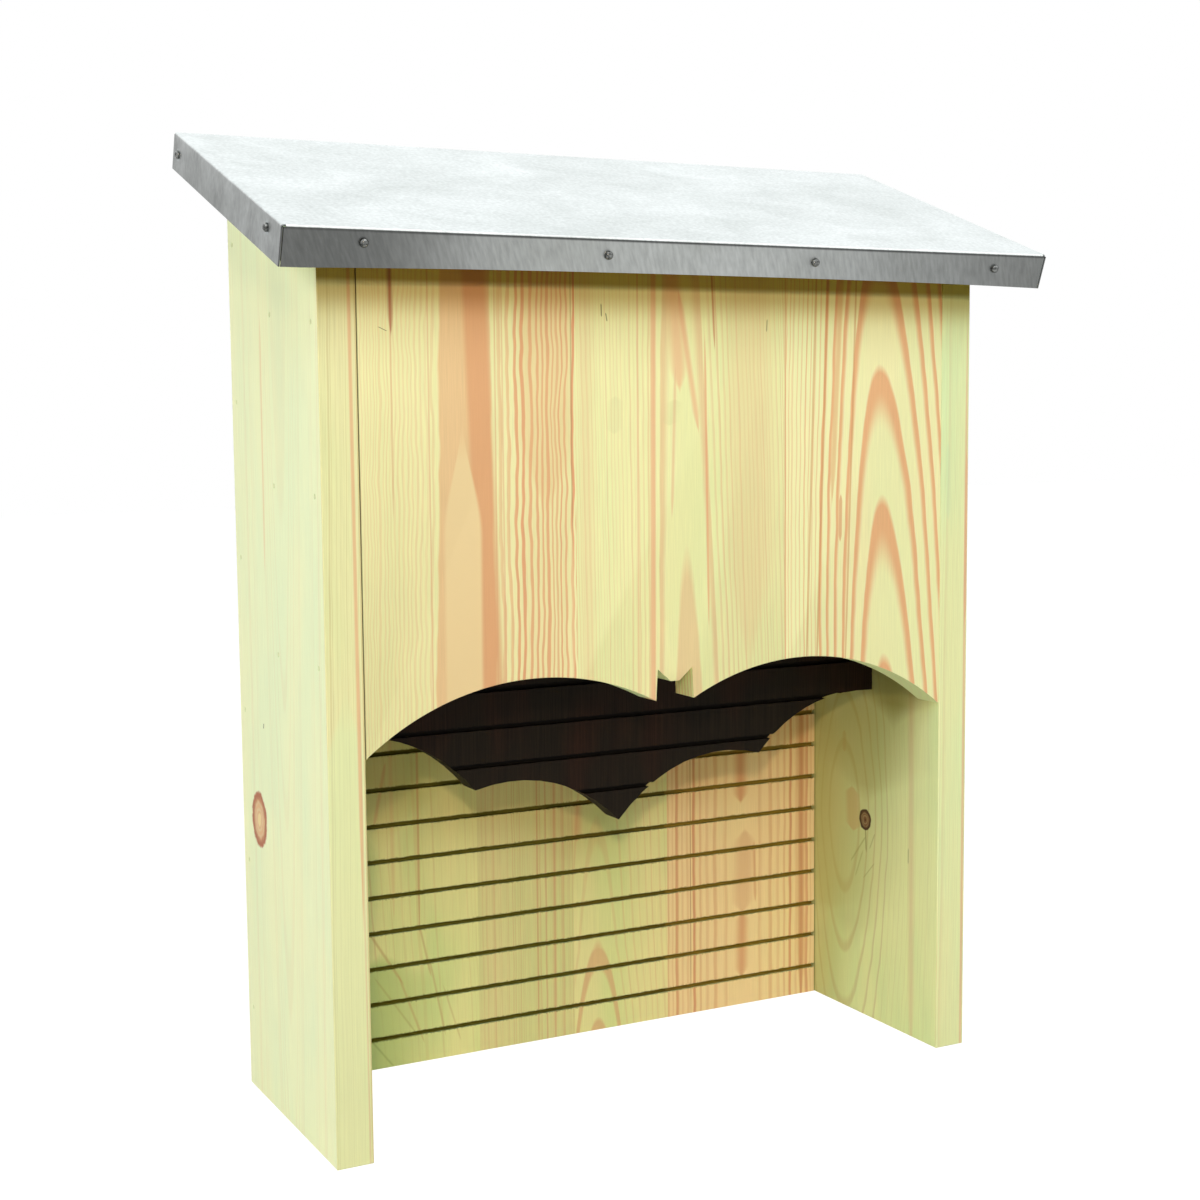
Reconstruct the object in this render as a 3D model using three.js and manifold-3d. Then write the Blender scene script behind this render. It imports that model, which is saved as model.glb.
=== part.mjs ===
import * as THREE from 'three';
import { mergeVertices } from 'three/addons/utils/BufferGeometryUtils.js';
import Module from 'manifold-3d';

// A bat box with two roosting chambers: pale pine boards, a dark grooved partition whose lower edge
// and the arched front together outline a bat, and a folded metal roof over a sloping board.
// Lengths are in millimetres. X runs across the box, Y from its front to its back, and Z up.

const wasm = await Module();
wasm.setup();

// Case
const boxWidth = 360;
const boxDepth = 132;
const sideFrontHeight = 418.2;
const sideThickness = 18;
const frontThickness = 18;
const partitionThickness = 15;
const backThickness = 15;
const frontChamberDepth = 42;
const passageHeight = 16;

// Gap between pieces that touch, and how far a cutter runs past what it cuts
const seam = 0.3;
const overrun = 5;

// Arched entrance in the front: its crest above the box's bottom, the arches' rise and the head between them
const entranceCrest = 220.5;
const archRise = 31.2;
const archCentreShare = 0.463;
const headHalfWidth = 10.7;
const earTipHalfWidth = 9.8;
const earTipDrop = 0.5;
const headNotchDepth = 6.3;
const headNotchHalfWidth = 2.5;

// Lower edge of the partition: wing tips and tail below the height where the arches spring. The
// outline was cut by hand, so its wings differ a little
const wingTips = {
  left: { share: 0.504, drop: 32.7 },
  right: { share: 0.536, drop: 28.9 },
};
const tailDrop = 56.5;
const innerScallopShares = [[0.262, 0.921], [0.619, 1.337]];
const outerScallopShares = [[0.218, 0.635], [0.526, 1.079]];

// Saw kerfs that the bats grip, across the partition and the back
const kerfWidth = 2.3;
const kerfDepth = 3;
const kerfPitch = 19.1;
const firstKerfHeight = 16;
const kerfTopEdge = 14;

// Roof board and folded sheet
const roofPitch = THREE.MathUtils.degToRad(20.2);
const roofSideOverhang = 25;
const roofFrontReach = 26.5;
const roofRearReach = 5.85;
const roofBoardThickness = 15;
const sheetThickness = 0.6;
const flangeDepth = 18;
const bendRadius = 1;

// Domed nails through the roof's flanges, placed by shares of the flange's length and depth
const roofNail = { radius: 0.9, length: 16, headRadius: 2, headHeight: 1.3, pointLength: 2, sides: 10 };
const frontNailShares = [[-0.41, 0.36], [-0.121, 0.455], [0.155, 0.455], [0.423, 0.455]];
const rearNailShares = [[-0.42, 0.455], [-0.14, 0.455], [0.14, 0.455], [0.42, 0.455]];
const sideNailShares = [[0.116, 0.36], [0.952, 0.52]];

// Flat-headed nails that hold the roof board on the sides and the back
const boardNail = { radius: 1.25, length: 34, headRadius: 2.8, headHeight: 1, pointLength: 3, sides: 8 };
const sideBoardNailShares = [0.2, 0.76];
const backBoardNailShare = 0.48;

// Brads through the sides into the edges of the front, the partition and the back
const brad = { radius: 0.7, length: 35, headRadius: 1.1, headHeight: 0.8, pointLength: 1.5, sides: 6 };
const bradLowEdge = 42.2;
const bradTopEdge = 31.7;
const frontBradCount = 3;
const partitionBradCount = 3;
const backBradCount = 6;

// Keyhole plates on the back, with a pocket behind each keyhole and two screws each
const plateWidth = 18;
const plateHeight = 58;
const plateThickness = 1.5;
const plateInset = 42;
const plateDrop = 62;
const keyholeRadius = 5.2;
const keyholeSlotRadius = 2.4;
const keyholeSlotRise = 10;
const pocketRadius = 7;
const pocketDepth = 7;
const plateScrewInset = 7;
const plateScrew = { radius: 1.4, length: 12, headRadius: 2.9, headHeight: 1.7, pointLength: 2.5, sides: 10 };

// Facets of round forms
const archSteps = 20;
const scallopSteps = 10;
const bendSteps = 4;
const plateSteps = 10;
const domeSteps = 3;

// Places that follow from the sizes above
const innerHalfWidth = boxWidth / 2 - sideThickness;
const panelHalfWidth = innerHalfWidth - seam;
const partitionFrontY = frontThickness + frontChamberDepth;
const partitionBackY = partitionFrontY + partitionThickness;
const backFrontY = boxDepth - backThickness;
const archSpringZ = entranceCrest - archRise;
const archCentreX = innerHalfWidth * archCentreShare;
const archHalfSpan = innerHalfWidth - archCentreX;
const archRadius = (archHalfSpan ** 2 + archRise ** 2) / (2 * archRise);
const partitionTopZ = roofUndersideZ(partitionFrontY) - passageHeight;
const slopeDepth = boxDepth / Math.cos(roofPitch);
const roofWidth = boxWidth + 2 * roofSideOverhang;
const roofLength = roofFrontReach + slopeDepth + roofRearReach;
const sheetTop = seam + roofBoardThickness + seam + sheetThickness;
const roofBoardTop = seam + roofBoardThickness;

const pine = new THREE.MeshStandardMaterial({ color: 0xe3dfa6, roughness: 0.75, metalness: 0 });
const greenPine = new THREE.MeshStandardMaterial({ color: 0xe2ebbf, roughness: 0.75, metalness: 0 });
const stainedPine = new THREE.MeshStandardMaterial({ color: 0x2b211d, roughness: 0.7, metalness: 0 });
const zinc = new THREE.MeshStandardMaterial({ color: 0xc9cfd0, roughness: 0.4, metalness: 0.9 });
const steel = new THREE.MeshStandardMaterial({ color: 0x9a9c9c, roughness: 0.35, metalness: 0.9 });

function roofUndersideZ(y) {
  return sideFrontHeight + y * Math.tan(roofPitch);
}

// The roof's own frame: its underside's line over the front face, Y up the slope and Z off the roof
function roofMatrix() {
  const matrix = new THREE.Matrix4().makeRotationX(roofPitch);
  return matrix.setPosition(0, 0, sideFrontHeight);
}

function toManifold(geometry) {
  const bare = geometry.clone();
  bare.deleteAttribute('normal');
  bare.deleteAttribute('uv');
  const merged = mergeVertices(bare);
  return new wasm.Manifold(new wasm.Mesh({
    numProp: 3,
    vertProperties: Float32Array.from(merged.attributes.position.array),
    triVerts: Uint32Array.from(merged.index.array),
  }));
}

function toGeometry(solid) {
  const mesh = solid.getMesh();
  const indexed = new THREE.BufferGeometry();
  indexed.setAttribute('position', new THREE.BufferAttribute(mesh.vertProperties, mesh.numProp));
  indexed.setIndex(new THREE.BufferAttribute(mesh.triVerts, 1));
  const geometry = indexed.toNonIndexed();
  geometry.computeVertexNormals();
  return geometry;
}

function cut(blank, cutters) {
  const solid = cutters.reduce((rest, cutter) => rest.subtract(toManifold(cutter)), toManifold(blank));
  return toGeometry(solid);
}

function join(pieces) {
  const [first, ...others] = pieces.map(toManifold);
  return others.reduce((whole, piece) => whole.add(piece), first);
}

function addMesh(group, name, geometry, material) {
  const mesh = new THREE.Mesh(geometry, material);
  mesh.name = name;
  group.add(mesh);
  return mesh;
}

// A flat piece from an outline drawn in X and Z, whose front face is at frontY
function upright(outline, frontY, thickness, steps = archSteps) {
  const options = { depth: thickness, bevelEnabled: false, curveSegments: steps };
  const geometry = new THREE.ExtrudeGeometry(outline, options);
  geometry.rotateX(Math.PI / 2);
  geometry.translate(0, frontY + thickness, 0);
  return geometry;
}

// A flat piece from an outline drawn in Y and Z, whose left face is at leftX
function sideways(outline, leftX, thickness) {
  const geometry = new THREE.ExtrudeGeometry(outline, { depth: thickness, bevelEnabled: false });
  geometry.applyMatrix4(new THREE.Matrix4().makeBasis(
    new THREE.Vector3(0, 1, 0),
    new THREE.Vector3(0, 0, 1),
    new THREE.Vector3(1, 0, 0),
  ));
  geometry.translate(leftX, 0, 0);
  return geometry;
}

function outlineOf(points) {
  return new THREE.Shape(points.map(([u, v]) => new THREE.Vector2(u, v)));
}

// The wedge above the roof's underside, which trims the boards' tops
function aboveRoofLine() {
  const front = -overrun;
  const back = boxDepth + overrun;
  const high = roofUndersideZ(back) + overrun;
  const outline = outlineOf([
    [front, roofUndersideZ(front)],
    [back, roofUndersideZ(back)],
    [back, high],
    [front, high],
  ]);
  return sideways(outline, -boxWidth, 2 * boxWidth);
}

// A straight bore of a fastener's shank along -Y, from the surface at y = 0 under which its head is sunk
function bore(fastener, sunk = 0) {
  const radius = fastener.radius + seam;
  const length = overrun + sunk + fastener.length + seam;
  const geometry = new THREE.CylinderGeometry(radius, radius, length, fastener.sides);
  geometry.translate(0, overrun - length / 2, 0);
  return geometry;
}

// The bore and the head's seat of a fastener whose flat head is flush with the surface at y = 0
function flushCutters(fastener) {
  const radius = fastener.headRadius + seam;
  const length = overrun + fastener.headHeight + seam;
  const seat = new THREE.CylinderGeometry(radius, radius, length, fastener.sides);
  seat.translate(0, overrun - length / 2, 0);
  return [bore(fastener, fastener.headHeight), seat];
}

// A nail along -Y whose head stands on y = 0, flat on top or domed
function nailGeometry(fastener, domed) {
  const profile = [
    [0, -fastener.length],
    [fastener.radius, -fastener.length + fastener.pointLength],
    [fastener.radius, 0],
    [fastener.headRadius, 0],
  ];
  if (domed) {
    for (let step = 1; step < domeSteps; step += 1) {
      const angle = (Math.PI / 2) * (step / domeSteps);
      profile.push([fastener.headRadius * Math.cos(angle), fastener.headHeight * Math.sin(angle)]);
    }
  } else {
    profile.push([fastener.headRadius, fastener.headHeight]);
  }
  profile.push([0, fastener.headHeight]);
  const points = profile.map(([radius, height]) => new THREE.Vector2(radius, height));
  return toGeometry(toManifold(new THREE.LatheGeometry(points, fastener.sides)));
}

// Where the brads go: a row spread over the height of each board between the sides
function bradPlaces() {
  const middles = {
    front: frontThickness / 2,
    partition: (partitionFrontY + partitionBackY) / 2,
    back: (backFrontY + boxDepth) / 2,
  };
  const rows = [
    { row: 'front', count: frontBradCount, low: archSpringZ, high: sideFrontHeight },
    { row: 'partition', count: partitionBradCount, low: archSpringZ, high: partitionTopZ },
    { row: 'back', count: backBradCount, low: 0, high: roofUndersideZ(backFrontY) },
  ];
  const places = [];
  for (const { row, count, low, high } of rows) {
    const pitch = (high - bradTopEdge - low - bradLowEdge) / (count - 1);
    for (let index = 0; index < count; index += 1) {
      const z = low + bradLowEdge + index * pitch;
      places.push({ row, number: index + 1, y: middles[row], z });
    }
  }
  return places;
}

// Bores and head seats of all the brads of one side, in place
function bradCutters(side) {
  const headSurfaceX = side * boxWidth / 2;
  const cutters = [];
  for (const { y, z } of bradPlaces()) {
    for (const cutter of flushCutters(brad)) {
      cutter.rotateZ(-side * Math.PI / 2);
      cutter.translate(headSurfaceX, y, z);
      cutters.push(cutter);
    }
  }
  return cutters;
}

// Places of the nails through the roof board, in the roof's frame, with the board that each enters
function boardNailPlaces() {
  const places = [];
  const sideX = boxWidth / 2 - sideThickness / 2;
  for (const side of [-1, 1]) {
    sideBoardNailShares.forEach((share, index) => {
      const name = `roof_board_nail_${side < 0 ? 'left' : 'right'}_${index + 1}`;
      places.push({ name, x: side * sideX, y: slopeDepth * share });
    });
  }
  const backMiddleY = (backFrontY + boxDepth) / 2;
  const entry = (boardNail.length - roofBoardThickness) / 2;
  const backY = (backMiddleY - entry * Math.sin(roofPitch)) / Math.cos(roofPitch);
  for (const side of [-1, 1]) {
    const name = `roof_board_nail_back_${side < 0 ? 'left' : 'right'}`;
    places.push({ name, x: side * innerHalfWidth * backBoardNailShare, y: backY });
  }
  return places;
}

function boardNailCutters() {
  const cutters = [];
  for (const { x, y } of boardNailPlaces()) {
    for (const cutter of flushCutters(boardNail)) {
      cutter.rotateX(Math.PI / 2);
      cutter.translate(x, y, roofBoardTop);
      cutters.push(cutter);
    }
  }
  return cutters;
}

function boardNailCuttersInBox() {
  return boardNailCutters().map((cutter) => cutter.applyMatrix4(roofMatrix()));
}

// Places of the domed nails in the roof's frame: a point on the flange and the turn that faces it out
function roofNailPlaces() {
  const flangeZ = (share) => sheetTop - share * flangeDepth;
  const places = [];
  frontNailShares.forEach(([across, down], index) => {
    const point = [across * roofWidth, -roofFrontReach, flangeZ(down)];
    places.push({ name: `roof_nail_front_${index + 1}`, point, axis: [0, -1, 0] });
  });
  rearNailShares.forEach(([across, down], index) => {
    const point = [across * roofWidth, roofLength - roofFrontReach, flangeZ(down)];
    places.push({ name: `roof_nail_rear_${index + 1}`, point, axis: [0, 1, 0] });
  });
  for (const side of [-1, 1]) {
    sideNailShares.forEach(([along, down], index) => {
      const point = [side * roofWidth / 2, along * roofLength - roofFrontReach, flangeZ(down)];
      const name = `roof_nail_${side < 0 ? 'left' : 'right'}_${index + 1}`;
      places.push({ name, point, axis: [side, 0, 0] });
    });
  }
  return places;
}

function turnTo(axis) {
  return new THREE.Quaternion().setFromUnitVectors(new THREE.Vector3(0, 1, 0), new THREE.Vector3(...axis));
}

function roofNailCutters() {
  return roofNailPlaces().map(({ point, axis }) => {
    const cutter = bore(roofNail).applyQuaternion(turnTo(axis));
    return cutter.translate(...point);
  });
}

// Side boards: plain planks with a sloping top
function sideBoard(side) {
  const outline = outlineOf([
    [0, 0],
    [boxDepth, 0],
    [boxDepth, roofUndersideZ(boxDepth)],
    [0, sideFrontHeight],
  ]);
  const leftX = side < 0 ? -boxWidth / 2 : innerHalfWidth;
  return cut(sideways(outline, leftX, sideThickness), [...bradCutters(side), ...boardNailCuttersInBox()]);
}

// Front panel: two arches side by side and a notched head between them
function archAngle(x, centreX) {
  return Math.acos((x - centreX) / archRadius);
}

function frontPanel() {
  const centreZ = entranceCrest - archRadius;
  const earTipZ = entranceCrest - earTipDrop;
  const notchZ = earTipZ - headNotchDepth;
  const outline = new THREE.Shape();
  outline.absarc(
    -archCentreX, centreZ, archRadius,
    archAngle(-panelHalfWidth, -archCentreX), archAngle(-headHalfWidth, -archCentreX), true,
  );
  outline.lineTo(-earTipHalfWidth, earTipZ);
  outline.lineTo(-headNotchHalfWidth, notchZ);
  outline.lineTo(headNotchHalfWidth, notchZ);
  outline.lineTo(earTipHalfWidth, earTipZ);
  outline.absarc(
    archCentreX, centreZ, archRadius,
    archAngle(headHalfWidth, archCentreX), archAngle(panelHalfWidth, archCentreX), true,
  );
  outline.lineTo(panelHalfWidth, roofUndersideZ(frontThickness));
  outline.lineTo(-panelHalfWidth, roofUndersideZ(frontThickness));
  const blank = upright(outline, 0, frontThickness);
  return cut(blank, [aboveRoofLine(), ...bradCutters(-1), ...bradCutters(1)]);
}

// One scalloped stretch of the partition's lower edge, as a curve between two points
function scallop([startX, startZ], [endX, endZ], shares) {
  const controls = shares.map(([along, up]) => new THREE.Vector2(
    startX + along * (endX - startX),
    startZ + up * (endZ - startZ),
  ));
  return new THREE.CubicBezierCurve(
    new THREE.Vector2(startX, startZ), ...controls, new THREE.Vector2(endX, endZ),
  );
}

// One wing's lower edge, from the tail out to the board's end
function wing(tail, { share, drop }, side) {
  const tip = [side * innerHalfWidth * share, archSpringZ - drop];
  const shoulder = [side * panelHalfWidth, archSpringZ];
  const inner = scallop(tail, tip, innerScallopShares).getPoints(scallopSteps);
  const outer = scallop(tip, shoulder, outerScallopShares).getPoints(scallopSteps);
  return [...inner.slice(1), ...outer.slice(1)];
}

function partitionOutline() {
  const tail = [0, archSpringZ - tailDrop];
  return new THREE.Shape([
    ...wing(tail, wingTips.left, -1).reverse(),
    new THREE.Vector2(...tail),
    ...wing(tail, wingTips.right, 1),
    new THREE.Vector2(panelHalfWidth, partitionTopZ),
    new THREE.Vector2(-panelHalfWidth, partitionTopZ),
  ]);
}

// Kerfs across the front face of a board, up to its top edge
function kerfCutters(faceY, topZ) {
  const count = Math.floor((topZ - kerfTopEdge - firstKerfHeight) / kerfPitch) + 1;
  const cutters = [];
  for (let index = 0; index < count; index += 1) {
    const kerf = new THREE.BoxGeometry(2 * innerHalfWidth, 2 * kerfDepth, kerfWidth);
    kerf.translate(0, faceY, firstKerfHeight + index * kerfPitch);
    cutters.push(kerf);
  }
  return cutters;
}

function partition() {
  const blank = upright(partitionOutline(), partitionFrontY, partitionThickness);
  const kerfs = kerfCutters(partitionFrontY, partitionTopZ);
  return cut(blank, [...kerfs, ...bradCutters(-1), ...bradCutters(1)]);
}

// Keyhole plates: where each stands, and the outlines of its keyhole and of the pocket behind it
function platePlaces() {
  const z = roofUndersideZ(boxDepth) - plateDrop;
  const x = innerHalfWidth - plateInset;
  return [{ side: 'left', x: -x, z }, { side: 'right', x, z }];
}

// A round hole with a narrower or equal round slot rising from it
function keyholeOutline(holeRadius, slotRadius, rise) {
  const meeting = Math.asin(slotRadius / holeRadius);
  const outline = new THREE.Path();
  outline.absarc(0, 0, holeRadius, Math.PI / 2 + meeting, Math.PI / 2 - meeting, false);
  outline.absarc(0, rise, slotRadius, 0, Math.PI, false);
  return outline;
}

function pocket({ x, z }) {
  const rim = keyholeOutline(pocketRadius, pocketRadius, keyholeSlotRise).getPoints(plateSteps);
  const geometry = upright(new THREE.Shape(rim), boxDepth - pocketDepth, pocketDepth + overrun, plateSteps);
  return geometry.translate(x, 0, z);
}

function plateScrewPlaces() {
  const reach = plateHeight / 2 - plateScrewInset;
  return platePlaces().flatMap(({ side, x, z }) => [
    { name: `plate_screw_${side}_upper`, x, z: z + reach },
    { name: `plate_screw_${side}_lower`, x, z: z - reach },
  ]);
}

function plateScrewCutters() {
  const surfaceY = boxDepth + seam + plateThickness;
  return plateScrewPlaces().map(({ x, z }) => bore(plateScrew).translate(x, surfaceY, z));
}

function backPanel() {
  const outline = outlineOf([
    [-panelHalfWidth, 0],
    [panelHalfWidth, 0],
    [panelHalfWidth, roofUndersideZ(boxDepth)],
    [-panelHalfWidth, roofUndersideZ(boxDepth)],
  ]);
  const blank = upright(outline, backFrontY, backThickness);
  return cut(blank, [
    aboveRoofLine(),
    ...kerfCutters(backFrontY, roofUndersideZ(backFrontY)),
    ...bradCutters(-1),
    ...bradCutters(1),
    ...boardNailCuttersInBox(),
    ...platePlaces().map(pocket),
    ...plateScrewCutters(),
  ]);
}

function keyholePlate() {
  const halfWidth = plateWidth / 2;
  const straight = plateHeight / 2 - halfWidth;
  const outline = new THREE.Shape();
  outline.absarc(0, straight, halfWidth, 0, Math.PI, false);
  outline.absarc(0, -straight, halfWidth, Math.PI, 2 * Math.PI, false);
  outline.holes.push(keyholeOutline(keyholeRadius, keyholeSlotRadius, keyholeSlotRise));
  const reach = plateHeight / 2 - plateScrewInset;
  const bores = [reach, -reach].map((z) => bore(plateScrew).translate(0, plateThickness, z));
  return cut(upright(outline, 0, plateThickness, plateSteps), bores);
}

// Roof board, in the roof's frame
function roofBoard() {
  const allowance = 2 * (sheetThickness + seam);
  const board = new THREE.BoxGeometry(roofWidth - allowance, roofLength - allowance, roofBoardThickness);
  board.translate(0, roofLength / 2 - roofFrontReach, seam + roofBoardThickness / 2);
  return cut(board, [...boardNailCutters(), ...roofNailCutters()]);
}

// Section of a sheet folded down at both ends, over a span and centred on it, with its top at z = 0
function foldedSection(span) {
  const outer = span / 2;
  const inner = outer - sheetThickness;
  const innerBend = bendRadius - sheetThickness;
  const outline = new THREE.Shape();
  outline.moveTo(outer, -flangeDepth);
  outline.absarc(outer - bendRadius, -bendRadius, bendRadius, 0, Math.PI / 2, false);
  outline.absarc(-outer + bendRadius, -bendRadius, bendRadius, Math.PI / 2, Math.PI, false);
  outline.lineTo(-outer, -flangeDepth);
  outline.lineTo(-inner, -flangeDepth);
  outline.absarc(-inner + innerBend, -bendRadius, innerBend, Math.PI, Math.PI / 2, true);
  outline.absarc(inner - innerBend, -bendRadius, innerBend, Math.PI / 2, 0, true);
  outline.lineTo(inner, -flangeDepth);
  return outline;
}

// Folded roof sheet, in the roof's frame: two crossing folds with open corners, and side flanges that
// run on to the corners past the ends of the front and rear ones
function roofSheet() {
  const cornerRelief = 2 * (bendRadius + seam);
  const middleY = roofLength / 2 - roofFrontReach;
  const widthFold = upright(
    foldedSection(roofWidth), -(roofLength - cornerRelief) / 2, roofLength - cornerRelief, bendSteps,
  );
  const lengthFold = upright(
    foldedSection(roofLength), -(roofWidth - cornerRelief) / 2, roofWidth - cornerRelief, bendSteps,
  );
  lengthFold.rotateZ(Math.PI / 2);
  const flangeHeight = flangeDepth - bendRadius;
  const sideFlanges = [-1, 1].map((side) => {
    const flange = new THREE.BoxGeometry(sheetThickness, roofLength, flangeHeight);
    return flange.translate(side * (roofWidth - sheetThickness) / 2, 0, -bendRadius - flangeHeight / 2);
  });
  const blank = toGeometry(join([widthFold, lengthFold, ...sideFlanges]));
  blank.translate(0, middleY, sheetTop);
  return cut(blank, roofNailCutters());
}

function addBrads(group) {
  const geometry = nailGeometry(brad, false);
  for (const side of [-1, 1]) {
    for (const { row, number, y, z } of bradPlaces()) {
      const name = `brad_${side < 0 ? 'left' : 'right'}_${row}_${number}`;
      const mesh = addMesh(group, name, geometry, steel);
      mesh.position.set(side * (boxWidth / 2 - brad.headHeight), y, z);
      mesh.rotation.z = -side * Math.PI / 2;
    }
  }
}

function addPlates(group) {
  const geometry = keyholePlate();
  for (const { side, x, z } of platePlaces()) {
    const mesh = addMesh(group, `keyhole_plate_${side}`, geometry, steel);
    mesh.position.set(x, boxDepth + seam, z);
  }
  const screw = nailGeometry(plateScrew, true);
  for (const { name, x, z } of plateScrewPlaces()) {
    const mesh = addMesh(group, name, screw, steel);
    mesh.position.set(x, boxDepth + seam + plateThickness + seam, z);
  }
}

function addRoof(group) {
  const roof = new THREE.Group();
  roof.applyMatrix4(roofMatrix());
  addMesh(roof, 'roof_board', roofBoard(), pine);
  addMesh(roof, 'roof_sheet', roofSheet(), zinc);
  const domed = nailGeometry(roofNail, true);
  for (const { name, point, axis } of roofNailPlaces()) {
    const mesh = addMesh(roof, name, domed, steel);
    mesh.quaternion.copy(turnTo(axis));
    mesh.position.set(...point).addScaledVector(new THREE.Vector3(...axis), seam);
  }
  const flat = nailGeometry(boardNail, false);
  for (const { name, x, y } of boardNailPlaces()) {
    const mesh = addMesh(roof, name, flat, steel);
    mesh.position.set(x, y, roofBoardTop - boardNail.headHeight);
    mesh.rotation.x = Math.PI / 2;
  }
  group.add(roof);
}

// The whole box, moved so that its origin is under the middle of all of it
function batBox() {
  const box = new THREE.Group();
  addMesh(box, 'left_side', sideBoard(-1), greenPine);
  addMesh(box, 'right_side', sideBoard(1), greenPine);
  addMesh(box, 'front_panel', frontPanel(), pine);
  addMesh(box, 'partition', partition(), stainedPine);
  addMesh(box, 'back_panel', backPanel(), pine);
  addRoof(box);
  addBrads(box);
  addPlates(box);
  const middle = new THREE.Box3().setFromObject(box, true).getCenter(new THREE.Vector3());
  box.position.y = -middle.y;
  return new THREE.Group().add(box);
}

export default batBox();
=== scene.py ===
"""Looks of the timber bat box with a folded zinc-coated roof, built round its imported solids."""
import math
import random
from dataclasses import dataclass
from functools import partial

import bmesh
import bpy
from mathutils import Matrix, Vector


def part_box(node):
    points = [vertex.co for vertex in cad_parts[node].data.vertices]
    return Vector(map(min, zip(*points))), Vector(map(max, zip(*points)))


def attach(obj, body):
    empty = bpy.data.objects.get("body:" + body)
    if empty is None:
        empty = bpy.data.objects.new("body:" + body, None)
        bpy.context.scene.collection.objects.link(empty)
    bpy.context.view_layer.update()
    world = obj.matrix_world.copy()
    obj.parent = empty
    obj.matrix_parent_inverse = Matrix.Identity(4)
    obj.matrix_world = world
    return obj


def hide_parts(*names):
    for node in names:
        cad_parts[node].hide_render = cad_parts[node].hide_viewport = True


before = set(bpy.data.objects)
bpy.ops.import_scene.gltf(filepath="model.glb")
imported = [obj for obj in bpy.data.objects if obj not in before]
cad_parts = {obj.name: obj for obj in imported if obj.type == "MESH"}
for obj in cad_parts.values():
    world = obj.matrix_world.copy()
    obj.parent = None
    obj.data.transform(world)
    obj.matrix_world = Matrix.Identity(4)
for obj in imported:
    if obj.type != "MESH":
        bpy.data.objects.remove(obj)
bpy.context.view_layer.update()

MM = 0.001

# The box's own sizes in mm, measured from the middle of its width and from its front face
BOX_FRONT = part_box("left_side")[0].y / MM
BOX_HALF_WIDTH = 180.0
BOARD = 18.0
INNER_HALF_WIDTH = BOX_HALF_WIDTH - BOARD
SIDE_FRONT_HEIGHT = 418.2
BACK_FACE = 117.0
PARTITION_FACE = 60.0

# Roof sizes in mm, in the roof's own tilted directions
ROOF_PITCH = math.radians(20.2)
ROOF_HALF_WIDTH = 205.0
ROOF_FRONT = -26.5
ROOF_REAR = 146.5
SHEET_TOP = 16.2
SHEET = 0.6
FLANGE = 18.0
FOLD_RADIUS = 1.0

# Kerfs: the level of the lowest one's middle, their pitch, height and depth, in mm
KERF_LEVEL = 16.0
KERF_PITCH = 19.1
KERF_HEIGHT = 2.3
KERF_DEPTH = 3.0

# How the roof's own directions turn and shift into the frame's, and back again in mm
ROOF_TURN = (
    Matrix.Translation((0, BOX_FRONT * MM, SIDE_FRONT_HEIGHT * MM)) @ Matrix.Rotation(ROOF_PITCH, 4, "X")
)
ROOF_SHIFT = ROOF_TURN.inverted().translation / MM

# In mm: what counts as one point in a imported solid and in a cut, as lying on a line of the sheet's blank
# and on a face, and as the same height of a fastener's head
WELD = 0.002
CUT = 0.001
ON_LINE = 0.01
ON_FACE = 0.05
ON_HEAD = 0.02

# Sockets by number: a Math has its values, a MapRange its value and the ends of the ranges from and to, and
# a Mapping its point, shift, turn and scale. The colour Mix shares its sockets' names with its other kinds
MIX_A, MIX_B = 6, 7
BLEND = {"out": 2, "data_type": "RGBA"}
MULTIPLY = {"out": 2, "data_type": "RGBA", "blend_type": "MULTIPLY"}
SMOOTH = {"interpolation_type": "SMOOTHSTEP"}


def linear(value):
    """A linear colour with alpha, from sRGB hex."""
    shares = [int(value[at:at + 2], 16) / 255 for at in (1, 3, 5)]
    return (*[s / 12.92 if s <= 0.04045 else ((s + 0.055) / 1.055) ** 2.4 for s in shares], 1.0)


def add_node(tree, kind, inputs, out=0, **settings):
    """Adds a node with its settings, and its inputs set to values or linked.

    Gives one of its outputs, or with out None the node itself."""
    node = tree.nodes.new("ShaderNode" + kind)
    for name, value in settings.items():
        setattr(node, name, value)
    for name, value in inputs.items():
        if isinstance(value, bpy.types.NodeSocket):
            tree.links.new(value, node.inputs[name])
        else:
            node.inputs[name].default_value = value
    return node if out is None else node.outputs[out]


def emptied(owner):
    """Empties the nodes of a material, lamp or world, and gives the function that adds nodes there."""
    owner.use_nodes = True
    owner.node_tree.nodes.clear()
    return partial(add_node, owner.node_tree)


def new_material(name):
    material = bpy.data.materials.new(name)
    return material, emptied(material)


def new_object(name, data):
    thing = bpy.data.objects.new(name, data)
    bpy.context.scene.collection.objects.link(thing)
    return thing


def in_mm(add, shift, turn=(0, 0, 0)):
    """Object coordinates in mm, turned and then shifted to run across a face, into it and along it."""
    point = add("TexCoord", {}, out="Object")
    return add("Mapping", {0: point, 1: shift, 2: turn, 3: (1 / MM,) * 3})


# Wood

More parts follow.
